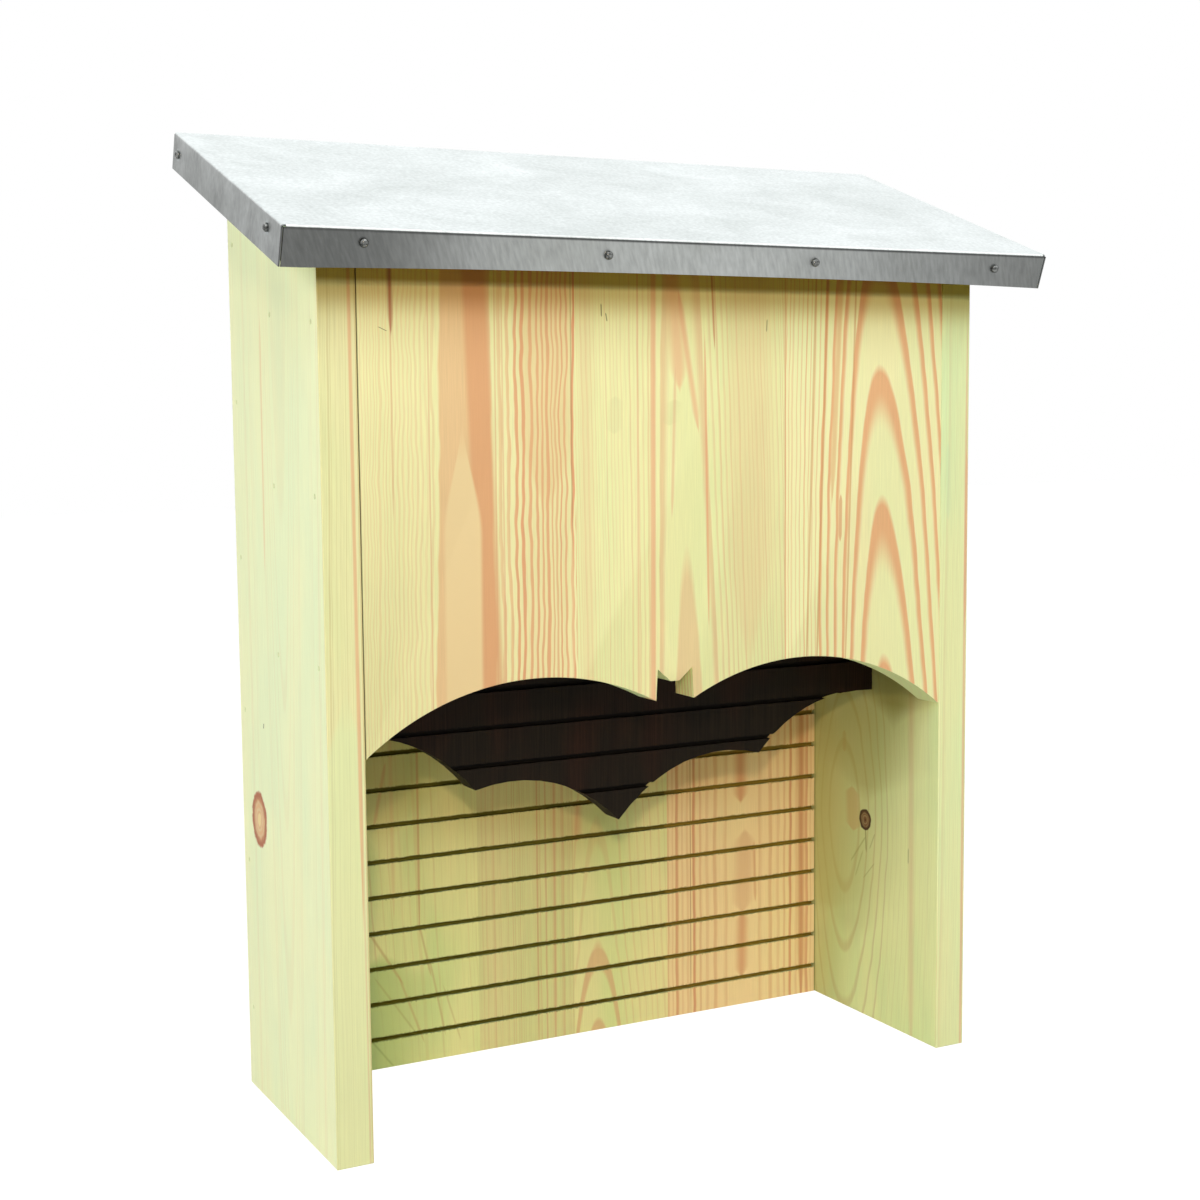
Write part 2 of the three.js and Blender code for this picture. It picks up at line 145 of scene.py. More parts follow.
@dataclass
class Log:
    """How a board lies in its log, in mm: across its face, into it and along it."""
    pith: float              # the pith's place across, at the level
    depth: float             # how deep the pith lies under the face, at the level
    level: float = 0.0       # the place along where both hold
    lean: float = 0.0        # how far the pith moves across, per mm along
    upward: float = 0.0      # how much deeper it lies, per mm above the level
    downward: float = 0.0    # and per mm below it
    rounded: float = 0.1     # how far from the level these slopes take to set in
    spread: tuple = (1, 1)   # how far the rings are spread to the pith's left and to its right
    rate: float = 1.0        # how many times as many rings lie to its left
    kink: float = 0.1        # the radius out to which the inner rings go
    inner: float = 4.0       # ring width inside the kink
    outer: float = 2.6       # and outside it
    late: float = 0.4        # the share of a ring that is dark latewood
    inner_late: float = 0.5  # and inside the kink
    soft: float = 0.65       # the share of the latewood in which it darkens
    core: float = 0.7        # strength of the rings inside the kink
    left: float = 0.6        # strength of the others at the left edge
    right: float = 0.5       # and at the right
    turn: tuple = (0, 1)     # where across the face one strength turns into the other
    warp: float = 0.8        # how far the rings wander over long distances
    ripple: float = 0.5      # and over short ones
    chance: float = 0.5      # how much paler than the strongest a ring may be
    seed: float = 0.0


@dataclass
class Streak:
    """A stained line or spot on a face, or a broad patch of painted shade, in mm, from its low end to its
    high end.
    """
    low: tuple
    high: tuple
    width: float
    tint: str
    strength: float
    soft: float = 1.0


@dataclass
class Knot:
    """A knot on a face: its middle and its half sizes across and along, in mm, with its colours."""
    middle: tuple
    half: tuple
    body: str
    rim: str
    heart: str
    strength: float


def growth_rings(add, place, log):
    """How much latewood each point holds."""
    across, into, along = add("SeparateXYZ", {0: place}, out=None).outputs
    above = add("Math", {0: along, 1: log.level}, operation="SUBTRACT")
    away = add("Math", {0: above, 1: above, 2: log.rounded ** 2}, operation="MULTIPLY_ADD")
    away = add("Math", {0: away}, operation="SQRT")
    away = add("Math", {0: away, 1: log.rounded}, operation="SUBTRACT")
    pith = add("Math", {0: above, 1: log.lean, 2: log.pith}, operation="MULTIPLY_ADD")
    shared_slope = (log.upward + log.downward) / 2
    tilted_slope = (log.upward - log.downward) / 2
    deep = add("Math", {0: away, 1: shared_slope, 2: log.depth}, operation="MULTIPLY_ADD")
    deep = add("Math", {0: above, 1: tilted_slope, 2: deep}, operation="MULTIPLY_ADD")

    # The whole figure wanders sideways, slowly and in short ripples, both drawn out along the grain
    far = add("Mapping", {0: place, 1: (log.seed, 0, 0), 3: (0.018, 0.018, 0.007)})
    wander = add("TexNoise", {"Vector": far, "Scale": 1.0, "Detail": 1.0})
    near = add("Mapping", {0: place, 1: (0, log.seed, 0), 3: (0.05, 0.05, 0.025)})
    ripple = add("TexNoise", {"Vector": near, "Scale": 1.0, "Roughness": 0.6})
    aside = add("Math", {0: across, 1: pith}, operation="SUBTRACT")
    aside = add("Math", {0: wander, 1: 2 * log.warp, 2: aside}, operation="MULTIPLY_ADD")
    aside = add("Math", {0: ripple, 1: 2 * log.ripple, 2: aside}, operation="MULTIPLY_ADD")
    aside = add("Math", {0: aside, 1: log.warp + log.ripple}, operation="SUBTRACT")
    rightward = add("Math", {0: aside, 1: 0.0}, operation="GREATER_THAN")
    narrow = add("MapRange", {0: rightward, 3: 1 / log.spread[0], 4: 1 / log.spread[1]})
    aside = add("Math", {0: aside, 1: narrow}, operation="MULTIPLY")
    under = add("Math", {0: deep, 1: into}, operation="SUBTRACT")
    spoke = add("CombineXYZ", {0: aside, 1: under, 2: 0.0})
    radius = add("VectorMath", {0: spoke}, out=1, operation="LENGTH")

    # Ring number, counted from the kink
    inside = add("Math", {0: radius, 1: log.kink}, operation="MINIMUM")
    inside = add("Math", {0: inside, 1: log.kink}, operation="SUBTRACT")
    outside = add("Math", {0: radius, 1: log.kink}, operation="SUBTRACT")
    outside = add("Math", {0: outside, 1: 0.0}, operation="MAXIMUM")
    uneven = add("TexNoise", {"W": outside, "Scale": 0.21, "Detail": 1.0}, noise_dimensions="1D")
    uneven = add("Math", {0: uneven, 1: outside}, operation="MULTIPLY")
    outside = add("Math", {0: uneven, 1: 0.2, 2: outside}, operation="MULTIPLY_ADD")
    rate = add("MapRange", {0: rightward, 3: log.rate})
    outside = add("Math", {0: outside, 1: rate}, operation="MULTIPLY")
    count = add("Math", {0: outside, 1: 1.1 * log.outer}, operation="DIVIDE")
    count = add("Math", {0: inside, 1: 1 / log.inner, 2: count}, operation="MULTIPLY_ADD")
    ring = add("Math", {0: count}, operation="FLOOR")
    growth = add("Math", {0: count}, operation="FRACT")
    is_inner = add("Math", {0: ring, 1: 0.0}, operation="LESS_THAN")

    # Each ring darkens slowly to its outer edge and ends sharply there
    share = add("MapRange", {0: is_inner, 3: 1 - log.late, 4: 1 - log.inner_late})
    full = add("Math", {0: share, 1: 1 - log.soft, 2: log.soft * 0.96}, operation="MULTIPLY_ADD")
    dark = add("MapRange", {0: growth, 1: share, 2: full}, **SMOOTH)
    end = add("MapRange", {0: growth, 1: 0.93, 3: 1.0, 4: 0.0})
    dark = add("Math", {0: dark, 1: end}, operation="MULTIPLY")

    # Rings differ, and one edge of a board often shows them more than the other
    numbered = add("Math", {0: ring, 1: log.seed}, operation="ADD")
    chance = add("TexWhiteNoise", {"W": numbered}, out="Value", noise_dimensions="1D")
    tone = add("MapRange", {0: chance, 3: 1 - log.chance})
    start, stop = log.turn
    side = add("MapRange", {0: across, 1: start, 2: stop, 3: log.left, 4: log.right}, **SMOOTH)
    tone = add("Math", {0: tone, 1: side}, operation="MULTIPLY")
    tone = add("MapRange", {0: is_inner, 3: tone, 4: log.core})
    return add("Math", {0: dark, 1: tone}, operation="MULTIPLY")


def streak_or_painted_shade(add, place, colour, streak):
    """Lays one streak, a stain or a patch of painted shade, over the colour, tapering over a fifth of its
    length at both its ends.

    It stays near the face and misses the far side."""
    across, into, along = add("SeparateXYZ", {0: place}, out=None).outputs
    (low_across, low), (high_across, high) = streak.low, streak.high
    line = add("MapRange", {0: along, 1: low, 2: high, 3: low_across, 4: high_across})
    aside = add("Math", {0: across, 1: line}, operation="SUBTRACT")
    aside = add("Math", {0: aside}, operation="ABSOLUTE")
    taper = (high - low) * 0.2
    start = add("MapRange", {0: along, 1: low, 2: low + taper}, **SMOOTH)
    stop = add("MapRange", {0: along, 1: high - taper, 2: high, 3: 1.0, 4: 0.0}, **SMOOTH)
    reach = add("Math", {0: start, 1: stop}, operation="MULTIPLY")
    half = add("Math", {0: reach, 1: streak.width / 2}, operation="MULTIPLY")
    core = add("Math", {0: half, 1: 1 - streak.soft}, operation="MULTIPLY")
    mask = add("MapRange", {0: aside, 1: core, 2: half, 3: streak.strength, 4: 0.0}, **SMOOTH)
    shown = add("MapRange", {0: reach, 2: 0.35})
    mask = add("Math", {0: mask, 1: shown}, operation="MULTIPLY")
    near = add("Math", {0: into, 1: BOARD / 2}, operation="LESS_THAN")
    mask = add("Math", {0: mask, 1: near}, operation="MULTIPLY")
    return add("Mix", {0: mask, MIX_A: colour, MIX_B: linear(streak.tint)}, **BLEND)


def kerf_stain_and_shade(add, place, colour, tone):
    """Darkens the saw kerfs: a stain gathered in their torn fibres, and painted shade that deepens inside
    them.
    """
    _, into, along = add("SeparateXYZ", {0: place}, out=None).outputs
    level = add("Math", {0: along, 1: KERF_LEVEL}, operation="SUBTRACT")
    off = add("Math", {0: level, 1: KERF_PITCH / 2, 2: -KERF_PITCH / 2}, operation="WRAP")
    off = add("Math", {0: off}, operation="ABSOLUTE")
    close = add("Math", {0: off, 1: KERF_HEIGHT / 2 + 0.35}, operation="LESS_THAN")
    # Painted shade: the kerf darkens the deeper inside it a point lies, from a share of 0.35 at the face to
    # 0.97 at 1.3 mm deep
    painted_depth_shade = add("MapRange", {0: into, 1: ON_FACE, 2: 1.3, 3: 0.35, 4: 0.97})
    below = add("Math", {0: into, 1: ON_FACE}, operation="GREATER_THAN")
    shallow = add("Math", {0: into, 1: KERF_DEPTH + 0.2}, operation="LESS_THAN")
    inside = add("Math", {0: below, 1: shallow}, operation="MULTIPLY")
    mask = add("Math", {0: close, 1: inside}, operation="MULTIPLY")
    mask = add("Math", {0: mask, 1: painted_depth_shade}, operation="MULTIPLY")
    # On the face it reaches up to 0.7 mm past the lips, as far as the fibres are torn
    torn = add("Mapping", {0: place, 3: (1.1, 0.0, 0.5)})
    torn = add("TexNoise", {"Vector": torn, "Scale": 1.0})
    lip = KERF_HEIGHT / 2
    reach = add("MapRange", {0: torn, 1: 0.35, 2: 0.7, 3: lip - 0.2, 4: lip + 0.7})
    fringe = add("Math", {0: off, 1: reach}, operation="LESS_THAN")
    fringe = add("Math", {0: fringe, 1: shallow}, operation="MULTIPLY")
    fringe = add("Math", {0: fringe, 1: 0.6}, operation="MULTIPLY")
    mask = add("Math", {0: mask, 1: fringe}, operation="MAXIMUM")
    return add("Mix", {0: mask, MIX_A: colour, MIX_B: linear(tone)}, **BLEND)


def knot_figure(add, place, colour, knot):
    """Lays a knot over the colour: a body with fine rings, a dark rim and a small heart."""
    middle, half = knot.middle, knot.half
    near = (-middle[0] / half[0], 0, -middle[1] / half[1])
    round_it = add("Mapping", {0: place, 1: near, 3: (1 / half[0], 0, 1 / half[1])})
    rough = add("TexNoise", {"Vector": place, "Scale": 0.25, "Detail": 3.0})
    away = add("VectorMath", {0: round_it}, out=1, operation="LENGTH")
    away = add("Math", {0: rough, 1: 0.35, 2: away}, operation="MULTIPLY_ADD")
    away = add("Math", {0: away, 1: 0.175}, operation="SUBTRACT")
    rings = add("Math", {0: away, 1: 26.0}, operation="MULTIPLY")
    rings = add("Math", {0: rings}, operation="SINE")
    body = add("MapRange", {0: away, 1: 0.9, 2: 1.15, 3: knot.strength, 4: 0.0}, **SMOOTH)
    fine = add("Math", {0: rings, 1: 0.12, 2: 0.88}, operation="MULTIPLY_ADD")
    body = add("Math", {0: body, 1: fine}, operation="MULTIPLY")
    start = add("MapRange", {0: away, 1: 0.55, 2: 0.95}, **SMOOTH)
    stop = add("MapRange", {0: away, 1: 1.0, 2: 1.14, 3: 1.0, 4: 0.0}, **SMOOTH)
    rim = add("Math", {0: start, 1: stop}, operation="MULTIPLY")
    rim = add("Math", {0: rim, 1: knot.strength}, operation="MULTIPLY")
    heart = add("MapRange", {0: away, 1: 0.12, 2: 0.34, 3: knot.strength, 4: 0.0}, **SMOOTH)
    for share, tone in ((body, knot.body), (rim, knot.rim), (heart, knot.heart)):
        colour = add("Mix", {0: share, MIX_A: colour, MIX_B: linear(tone)}, **BLEND)
    return colour


def softwood(
    name, shift, log, turn=(0, 0, 0), early="#F0E7AC", green="#DCE3A2", late="#E0A271", greenness=0.35,
    streaks=(), knots=(), kerf_tone=None, lip=False,
):
    """Sawn and planed pine: pale sapwood greened by its preservative, with orange latewood and a dull face.

    turn and shift bring Object coordinates to mm across the face, into it and along the grain."""
    material, add = new_material(name)
    place = in_mm(add, shift, turn)
    rings = growth_rings(add, place, log)

    # Preservative soaks in unevenly, over patches about 40 mm wide and 150 mm long
    patch = add("Mapping", {0: place, 1: (log.seed, 5.0, 0), 3: (0.025, 0.025, 0.007)})
    patch = add("TexNoise", {"Vector": patch, "Scale": 1.0})
    patch = add("MapRange", {0: patch, 1: 0.35, 2: 0.68, 4: 2 * greenness}, **SMOOTH)
    colour = add("Mix", {0: patch, MIX_A: linear(early), MIX_B: linear(green)}, **BLEND)
    colour = add("Mix", {0: rings, MIX_A: colour, MIX_B: linear(late)}, **BLEND)

    # Fibres, 0.4 mm wide and some 25 mm long
    fibre = add("Mapping", {0: place, 1: (0, 0, log.seed), 3: (2.4, 2.4, 0.04)})
    fibre = add("TexNoise", {"Vector": fibre, "Scale": 1.0})
    shade = add("MapRange", {0: fibre, 1: 0.25, 2: 0.75, 3: 0.93, 4: 1.05})
    colour = add("Mix", {0: 1.0, MIX_A: colour, MIX_B: shade}, **MULTIPLY)

    # Faces that point up or down, the cut ends among them, turn paler and greener: partly the preservative
    # that end grain drinks, partly painted light that brightens the downward cut faces in their shade
    facing = add("TexCoord", {}, out="Normal")
    upright = add("SeparateXYZ", {0: facing}, out=2)
    upright = add("Math", {0: upright}, operation="ABSOLUTE")
    end_grain_and_painted_light = add("MapRange", {0: upright, 1: 0.25, 2: 0.6, 4: 0.9})
    colour = add("Mix", {0: end_grain_and_painted_light, MIX_A: colour, MIX_B: linear("#E4F8C8")}, **BLEND)
    for streak in streaks:
        colour = streak_or_painted_shade(add, place, colour, streak)
    for knot in knots:
        colour = knot_figure(add, place, colour, knot)
    if kerf_tone:
        colour = kerf_stain_and_shade(add, place, colour, kerf_tone)
    if lip:
        # Painted shade under the roof's lip: the face darkens a little from 386 mm up and browns strongly
        # from 402 mm to the lip
        along = add("SeparateXYZ", {0: place}, out=2)
        for low, high, tone in ((386.0, 402.0, "#E3D9CB"), (402.0, 406.0, "#A99958")):
            share = add("MapRange", {0: along, 1: low, 2: high}, **SMOOTH)
            colour = add("Mix", {0: share, MIX_A: colour, MIX_B: linear(tone)}, **MULTIPLY)

    height = add("Math", {0: rings, 1: 0.5, 2: fibre}, operation="MULTIPLY_ADD")
    bump = add("Bump", {"Height": height, "Strength": 0.25, "Distance": 0.1 * MM})
    rough = add("MapRange", {0: rings, 3: 0.68, 4: 0.52})
    shader = add(
        "BsdfPrincipled",
        {"Base Color": colour, "Roughness": rough, "Specular IOR Level": 0.3, "Normal": bump},
    )
    add("OutputMaterial", {0: shader}, out=None)
    return material


def dark_stain():
    """Pine under a nearly black brown stain: thin, so that the fibres show, and slightly waxy."""
    material, add = new_material("dark_stained_pine")
    place = in_mm(add, (0, -BOX_FRONT - PARTITION_FACE, 0))
    log = Log(
        pith=10, depth=45, level=300, lean=0.02, upward=0.02, downward=-0.02, late=0.45, right=0.6,
        warp=2.5, seed=31,
    )
    rings = growth_rings(add, place, log)
    colour = add("Mix", {0: rings, MIX_A: linear("#1A140D"), MIX_B: linear("#0E0A06")}, **BLEND)
    patch = add("Mapping", {0: place, 3: (0.03, 0.03, 0.012)})
    patch = add("TexNoise", {"Vector": patch, "Scale": 1.0})
    patch = add("MapRange", {0: patch, 1: 0.48, 2: 0.7, 4: 0.8})
    colour = add("Mix", {0: patch, MIX_A: colour, MIX_B: linear("#2A1710")}, **BLEND)
    fibre = add("Mapping", {0: place, 3: (1.3, 1.3, 0.03)})
    fibre = add("TexNoise", {"Vector": fibre, "Scale": 1.0, "Detail": 3.0})
    shade = add("MapRange", {0: fibre, 1: 0.25, 2: 0.75, 3: 0.5, 4: 1.6})
    colour = add("Mix", {0: 1.0, MIX_A: colour, MIX_B: shade}, **MULTIPLY)
    colour = kerf_stain_and_shade(add, place, colour, "#070400")
    bump = add("Bump", {"Height": fibre, "Strength": 0.3, "Distance": 0.1 * MM})
    shader = add(
        "BsdfPrincipled",
        {"Base Color": colour, "Roughness": 0.62, "Specular IOR Level": 0.1, "Normal": bump},
    )
    add("OutputMaterial", {0: shader}, out=None)
    return material


# Metal

def galvanised_sheet():
    """Hot-dip galvanised steel sheet: dull, cloudy grey zinc with faint rolling marks, and painted
    reflection, highlight and shade on its flanges and fold.
    """
    material, add = new_material("galvanised_steel_sheet")
    flat = in_mm(add, ROOF_SHIFT, (-ROOF_PITCH, 0, 0))
    # Clouds some 40 mm across, drawn out along the roof, and 1.5 mm wide scratches that lean on the flanges
    cloudy = add("Mapping", {0: flat, 3: (0.018, 0.026, 0.026)})
    cloudy = add(
        "TexNoise",
        {"Vector": cloudy, "Scale": 1.0, "Detail": 5.0, "Roughness": 0.62, "Distortion": 0.4},
    )
    leaning = add("Mapping", {0: flat, 2: (0, 0.38, 0)})
    streaks = add("Mapping", {0: leaning, 3: (0.6, 0.6, 0.12)})
    streaks = add("TexNoise", {"Vector": streaks, "Scale": 1.0, "Detail": 3.0})
    tone = add("MapRange", {0: cloudy, 1: 0.3, 2: 0.7})
    colour = add("Mix", {0: tone, MIX_A: linear("#9BA1A0"), MIX_B: linear("#A6ACAC")}, **BLEND)
    line = add("MapRange", {0: streaks, 1: 0.3, 2: 0.7, 3: 0.87, 4: 1.13})
    colour = add("Mix", {0: 1.0, MIX_A: colour, MIX_B: line}, **MULTIPLY)
    # Painted reflection and shade: the front flange is darker towards its ends, most at the left, and
    # lighter in its middle
    across, along, out = add("SeparateXYZ", {0: flat}, out=None).outputs
    front = add("Math", {0: along, 1: ROOF_FRONT + 0.9}, operation="LESS_THAN")
    left_end = add("MapRange", {0: across, 1: -180, 2: -70, 3: 0.38, 4: 1.12}, **SMOOTH)
    right_end = add("MapRange", {0: across, 1: 0, 2: 210, 3: 1.0, 4: 0.5}, **SMOOTH)
    dull = add("Math", {0: left_end, 1: right_end}, operation="MULTIPLY")
    # A painted highlight along the crest of its fold, and a painted dark line of crease shade below the
    # crest
    below = add("Math", {0: SHEET_TOP, 1: out}, operation="SUBTRACT")
    painted_crest_highlight = add("MapRange", {0: below, 1: 0.6, 2: 0.9, 3: 1.5, 4: 0.25}, **SMOOTH)
    plain = add("MapRange", {0: below, 1: 1.2, 2: 2.2}, **SMOOTH)
    dull = add("MapRange", {0: plain, 3: painted_crest_highlight, 4: dull})
    dull = add("MapRange", {0: front, 3: 1.0, 4: dull})
    # Painted shade on the side flanges, laid in cloudy patches
    aside = add("Math", {0: across}, operation="ABSOLUTE")
    at_side = add("Math", {0: aside, 1: ROOF_HALF_WIDTH - 0.3}, operation="GREATER_THAN")
    painted_side_shade = add("MapRange", {0: cloudy, 1: 0.35, 2: 0.65, 3: -0.3, 4: 0.0})
    dull = add("Math", {0: at_side, 1: painted_side_shade, 2: dull}, operation="MULTIPLY_ADD")
    warm = add("Math", {0: front, 1: at_side}, operation="MAXIMUM")
    colour = add("Mix", {0: warm, MIX_A: colour, MIX_B: linear("#FFFBFA")}, **MULTIPLY)
    colour = add("Mix", {0: 1.0, MIX_A: colour, MIX_B: dull}, **MULTIPLY)
    rough = add("MapRange", {0: cloudy, 1: 0.3, 2: 0.7, 3: 0.5, 4: 0.4})
    bump = add("Bump", {"Height": streaks, "Strength": 0.12, "Distance": 0.1 * MM})
    shader = add(
        "BsdfPrincipled",
        {"Base Color": colour, "Metallic": 1.0, "Roughness": rough, "Normal": bump},
    )
    add("OutputMaterial", {0: shader}, out=None)
    return material


def zinc_plated_steel(name, bright, dull, roughness):
    """Zinc-plated steel fastener: grey metal, blotched where the plating is thin."""
    material, add = new_material(name)
    point = add("TexCoord", {}, out="Object")
    blotch = add("TexNoise", {"Vector": point, "Scale": 900.0})
    tone = add("MapRange", {0: blotch, 1: 0.35, 2: 0.65})
    colour = add("Mix", {0: tone, MIX_A: linear(dull), MIX_B: linear(bright)}, **BLEND)
    rough = add("MapRange", {0: blotch, 1: 0.3, 2: 0.7, 3: roughness + 0.1, 4: roughness})
    shader = add("BsdfPrincipled", {"Base Color": colour, "Metallic": 1.0, "Roughness": rough})
    add("OutputMaterial", {0: shader}, out=None)
    return material


def filled_head():
    """Pale wood filler over the sunk heads of the panel pins: matt, and close to the timber's own colour."""
    material, add = new_material("wood_filler")
    point = add("TexCoord", {}, out="Object")
    speck = add("TexNoise", {"Vector": point, "Scale": 1500.0})
    colour = add("Mix", {0: speck, MIX_A: linear("#E6ECBE"), MIX_B: linear("#D8E0B2")}, **BLEND)
    shader = add("BsdfPrincipled", {"Base Color": colour, "Roughness": 0.8, "Specular IOR Level": 0.2})
    add("OutputMaterial", {0: shader}, out=None)
    return material


# Pieces

# Facets that turn by less than the one are one face, and an edge that turns by more than the other is sharp
FLAT_ANGLE = math.radians(0.4)
SHARP_ANGLE = math.radians(35)

# In mm: how wide the edges of panels, loose boards and plates are eased, and how far kerf lips are frayed
PANEL_EASING = 0.2
BOARD_EASING = 0.45
PLATE_EASING = 0.25
FRAY = 0.22
FRAY_PITCH = 2.5

# The roof sheet before folding, in mm from its middle: its flat part, and the chords that round its folds
FLAT_X = ROOF_HALF_WIDTH - FOLD_RADIUS
FLAT_Y = (ROOF_REAR - ROOF_FRONT) / 2 - FOLD_RADIUS
FOLD_STEPS = 4
CHORD = 2 * FOLD_RADIUS * math.sin(math.pi / 4 / FOLD_STEPS)
FOLD = FOLD_STEPS * CHORD
CORNER_RELIEF = 1.0
BLANK_CELLS = (178, 84)

# The front flange's bow: the share by which it is shallower, where along the half width, and how broadly
BOW = 0.11
BOW_MIDDLE = 0.05
BOW_BREADTH = 2.6

# Dents round the roof nails, and the screws' cross recess, in mm
DENT = 0.6
DENT_RADIUS = 4.0
DENT_REACH = 14.0
NAIL_SINK = 1.6
RECESS = 0.9
RECESS_END = 2.2
RECESS_REACH = 1.8
RECESS_HALF_WIDTH = 0.4
CROWN = 0.4


def solid_copy(node):
    """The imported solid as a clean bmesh: its triangles merged into whole faces."""
    bm = bmesh.new()
    bm.from_mesh(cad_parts[node].data)
    bmesh.ops.remove_doubles(bm, verts=bm.verts, dist=WELD * MM)
    bmesh.ops.dissolve_limit(bm, angle_limit=FLAT_ANGLE, verts=bm.verts, edges=bm.edges)
    return bm


def cut_mesh(bm, point, normal, near=CUT, **settings):
    """Cuts the whole mesh along a plane. What lies this near to it, in mm, isn't cut again."""
    everything = [*bm.verts, *bm.edges, *bm.faces]
    return bmesh.ops.bisect_plane(
        bm, geom=everything, dist=near * MM, plane_co=point, plane_no=normal, **settings
    )


def saw_off(bm, across, keep_right):
    """Cuts the board along its grain at a place across, and closes the cut."""
    normal = (-1, 0, 0) if keep_right else (1, 0, 0)
    cut = cut_mesh(bm, (across * MM, 0, 0), normal, clear_outer=True)
    edges = [e for e in cut["geom_cut"] if isinstance(e, bmesh.types.BMEdge)]
    bmesh.ops.holes_fill(bm, edges=edges, sides=0)


def ease_edges(bm, width, chosen=lambda edge: True, shortest=3.0):
    """Breaks the sharp edges of a board, leaving its bores as they are."""
    edges = [
        e for e in bm.edges
        if len(e.link_faces) == 2 and e.calc_length() > shortest * MM
        and e.calc_face_angle(0) > SHARP_ANGLE and chosen(e)
    ]
    bmesh.ops.bevel(
        bm, geom=edges, offset=width * MM, offset_type="OFFSET", affect="EDGES", segments=2,
        profile=0.5, material=-1, clamp_overlap=True,
    )


def lies_across(edge):
    """Whether an edge keeps to one depth of the box, and so runs round a face of a plate."""
    return abs(edge.verts[0].co.y - edge.verts[1].co.y) < 0.1 * MM


def to_piece(bm, name, materials, node, corner=20.0):
    """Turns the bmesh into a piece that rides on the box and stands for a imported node."""
    mesh = bpy.data.meshes.new(name)
    bm.to_mesh(mesh)
    bm.free()
    for material in materials:
        mesh.materials.append(material)
    mesh.polygons.foreach_set("use_smooth", [True] * len(mesh.polygons))
    mesh.set_sharp_from_angle(angle=math.radians(corner))
    piece = new_object(name, mesh)
    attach(piece, "root")
    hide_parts(node)


def near_kerf(height):
    """How far a height in mm lies from the middle of the nearest kerf."""
    return abs((height - KERF_LEVEL + KERF_PITCH / 2) % KERF_PITCH - KERF_PITCH / 2)


def is_kerf_edge(edge):
    return all(near_kerf(vert.co.z / MM) < KERF_HEIGHT / 2 + 0.3 for vert in edge.verts)


def kerfed_board(bm, left, right, face, draw):
    """Eases a kerfed board but for its kerfs, cross-cuts its mesh and frays the lips of its kerfs."""
    ease_edges(bm, PANEL_EASING, lambda edge: not is_kerf_edge(edge))
    for step in range(1, int((right - left) / FRAY_PITCH)):
        cut_mesh(bm, ((left + step * FRAY_PITCH) * MM, 0, 0), (1, 0, 0))
    for vert in bm.verts:
        on_face = abs(vert.co.y / MM - BOX_FRONT - face) < ON_FACE
        if on_face and abs(near_kerf(vert.co.z / MM) - KERF_HEIGHT / 2) < ON_FACE:
            vert.co.z += draw.uniform(-FRAY, FRAY) * MM


def bend_down(bm, verts, direction, start):
    """Folds what lies beyond a line down by a right angle, over a small round."""
    reach = {vert: vert.co.dot(direction) for vert in verts}
    axis = Vector((0, 0, 1)).cross(direction)
    hinge = direction * start * MM
    turned = 0.0
    for step in range(FOLD_STEPS + 1):
        angle = math.pi / 2 / FOLD_STEPS / (2 if step in (0, FOLD_STEPS) else 1)
        line = (start + step * CHORD - ON_LINE) * MM
        moved = [vert for vert, along in reach.items() if along > line]
        bmesh.ops.rotate(bm, verts=moved, cent=hinge, matrix=Matrix.Rotation(angle, 3, axis))
        turned += angle
        hinge = hinge + Matrix.Rotation(turned, 3, axis) @ direction * CHORD * MM


def sheet_blank():
    """The flat sheet with its corners notched."""
    skirt = FOLD + FLANGE - FOLD_RADIUS
    bm = bmesh.new()
    bmesh.ops.create_grid(bm, x_segments=BLANK_CELLS[0], y_segments=BLANK_CELLS[1], size=1)
    bmesh.ops.scale(bm, verts=bm.verts, vec=((FLAT_X + skirt) * MM, (FLAT_Y + skirt) * MM, 1))
    bends = [step * CHORD for step in range(FOLD_STEPS + 1)]
    for sign in (-1, 1):
        x_way, y_way = Vector((sign, 0, 0)), Vector((0, sign, 0))
        for beyond in (*bends, -CORNER_RELIEF):
            cut_mesh(bm, x_way * (FLAT_X + beyond) * MM, x_way, near=ON_LINE)
        for beyond in (*bends, FOLD_RADIUS):
            cut_mesh(bm, y_way * (FLAT_Y + beyond) * MM, y_way, near=ON_LINE)
    gone = []
    for face in bm.faces:
        x, y = (abs(v) / MM for v in face.calc_center_median().xy)
        corner = x > FLAT_X and y > FLAT_Y and (x < FLAT_X + FOLD or y > FLAT_Y + FOLD_RADIUS)
        relief = FLAT_X - CORNER_RELIEF < x < FLAT_X and FLAT_Y < y < FLAT_Y + FOLD
        if corner or relief:
            gone.append(face)
    bmesh.ops.delete(bm, geom=gone, context="FACES")
    return bm


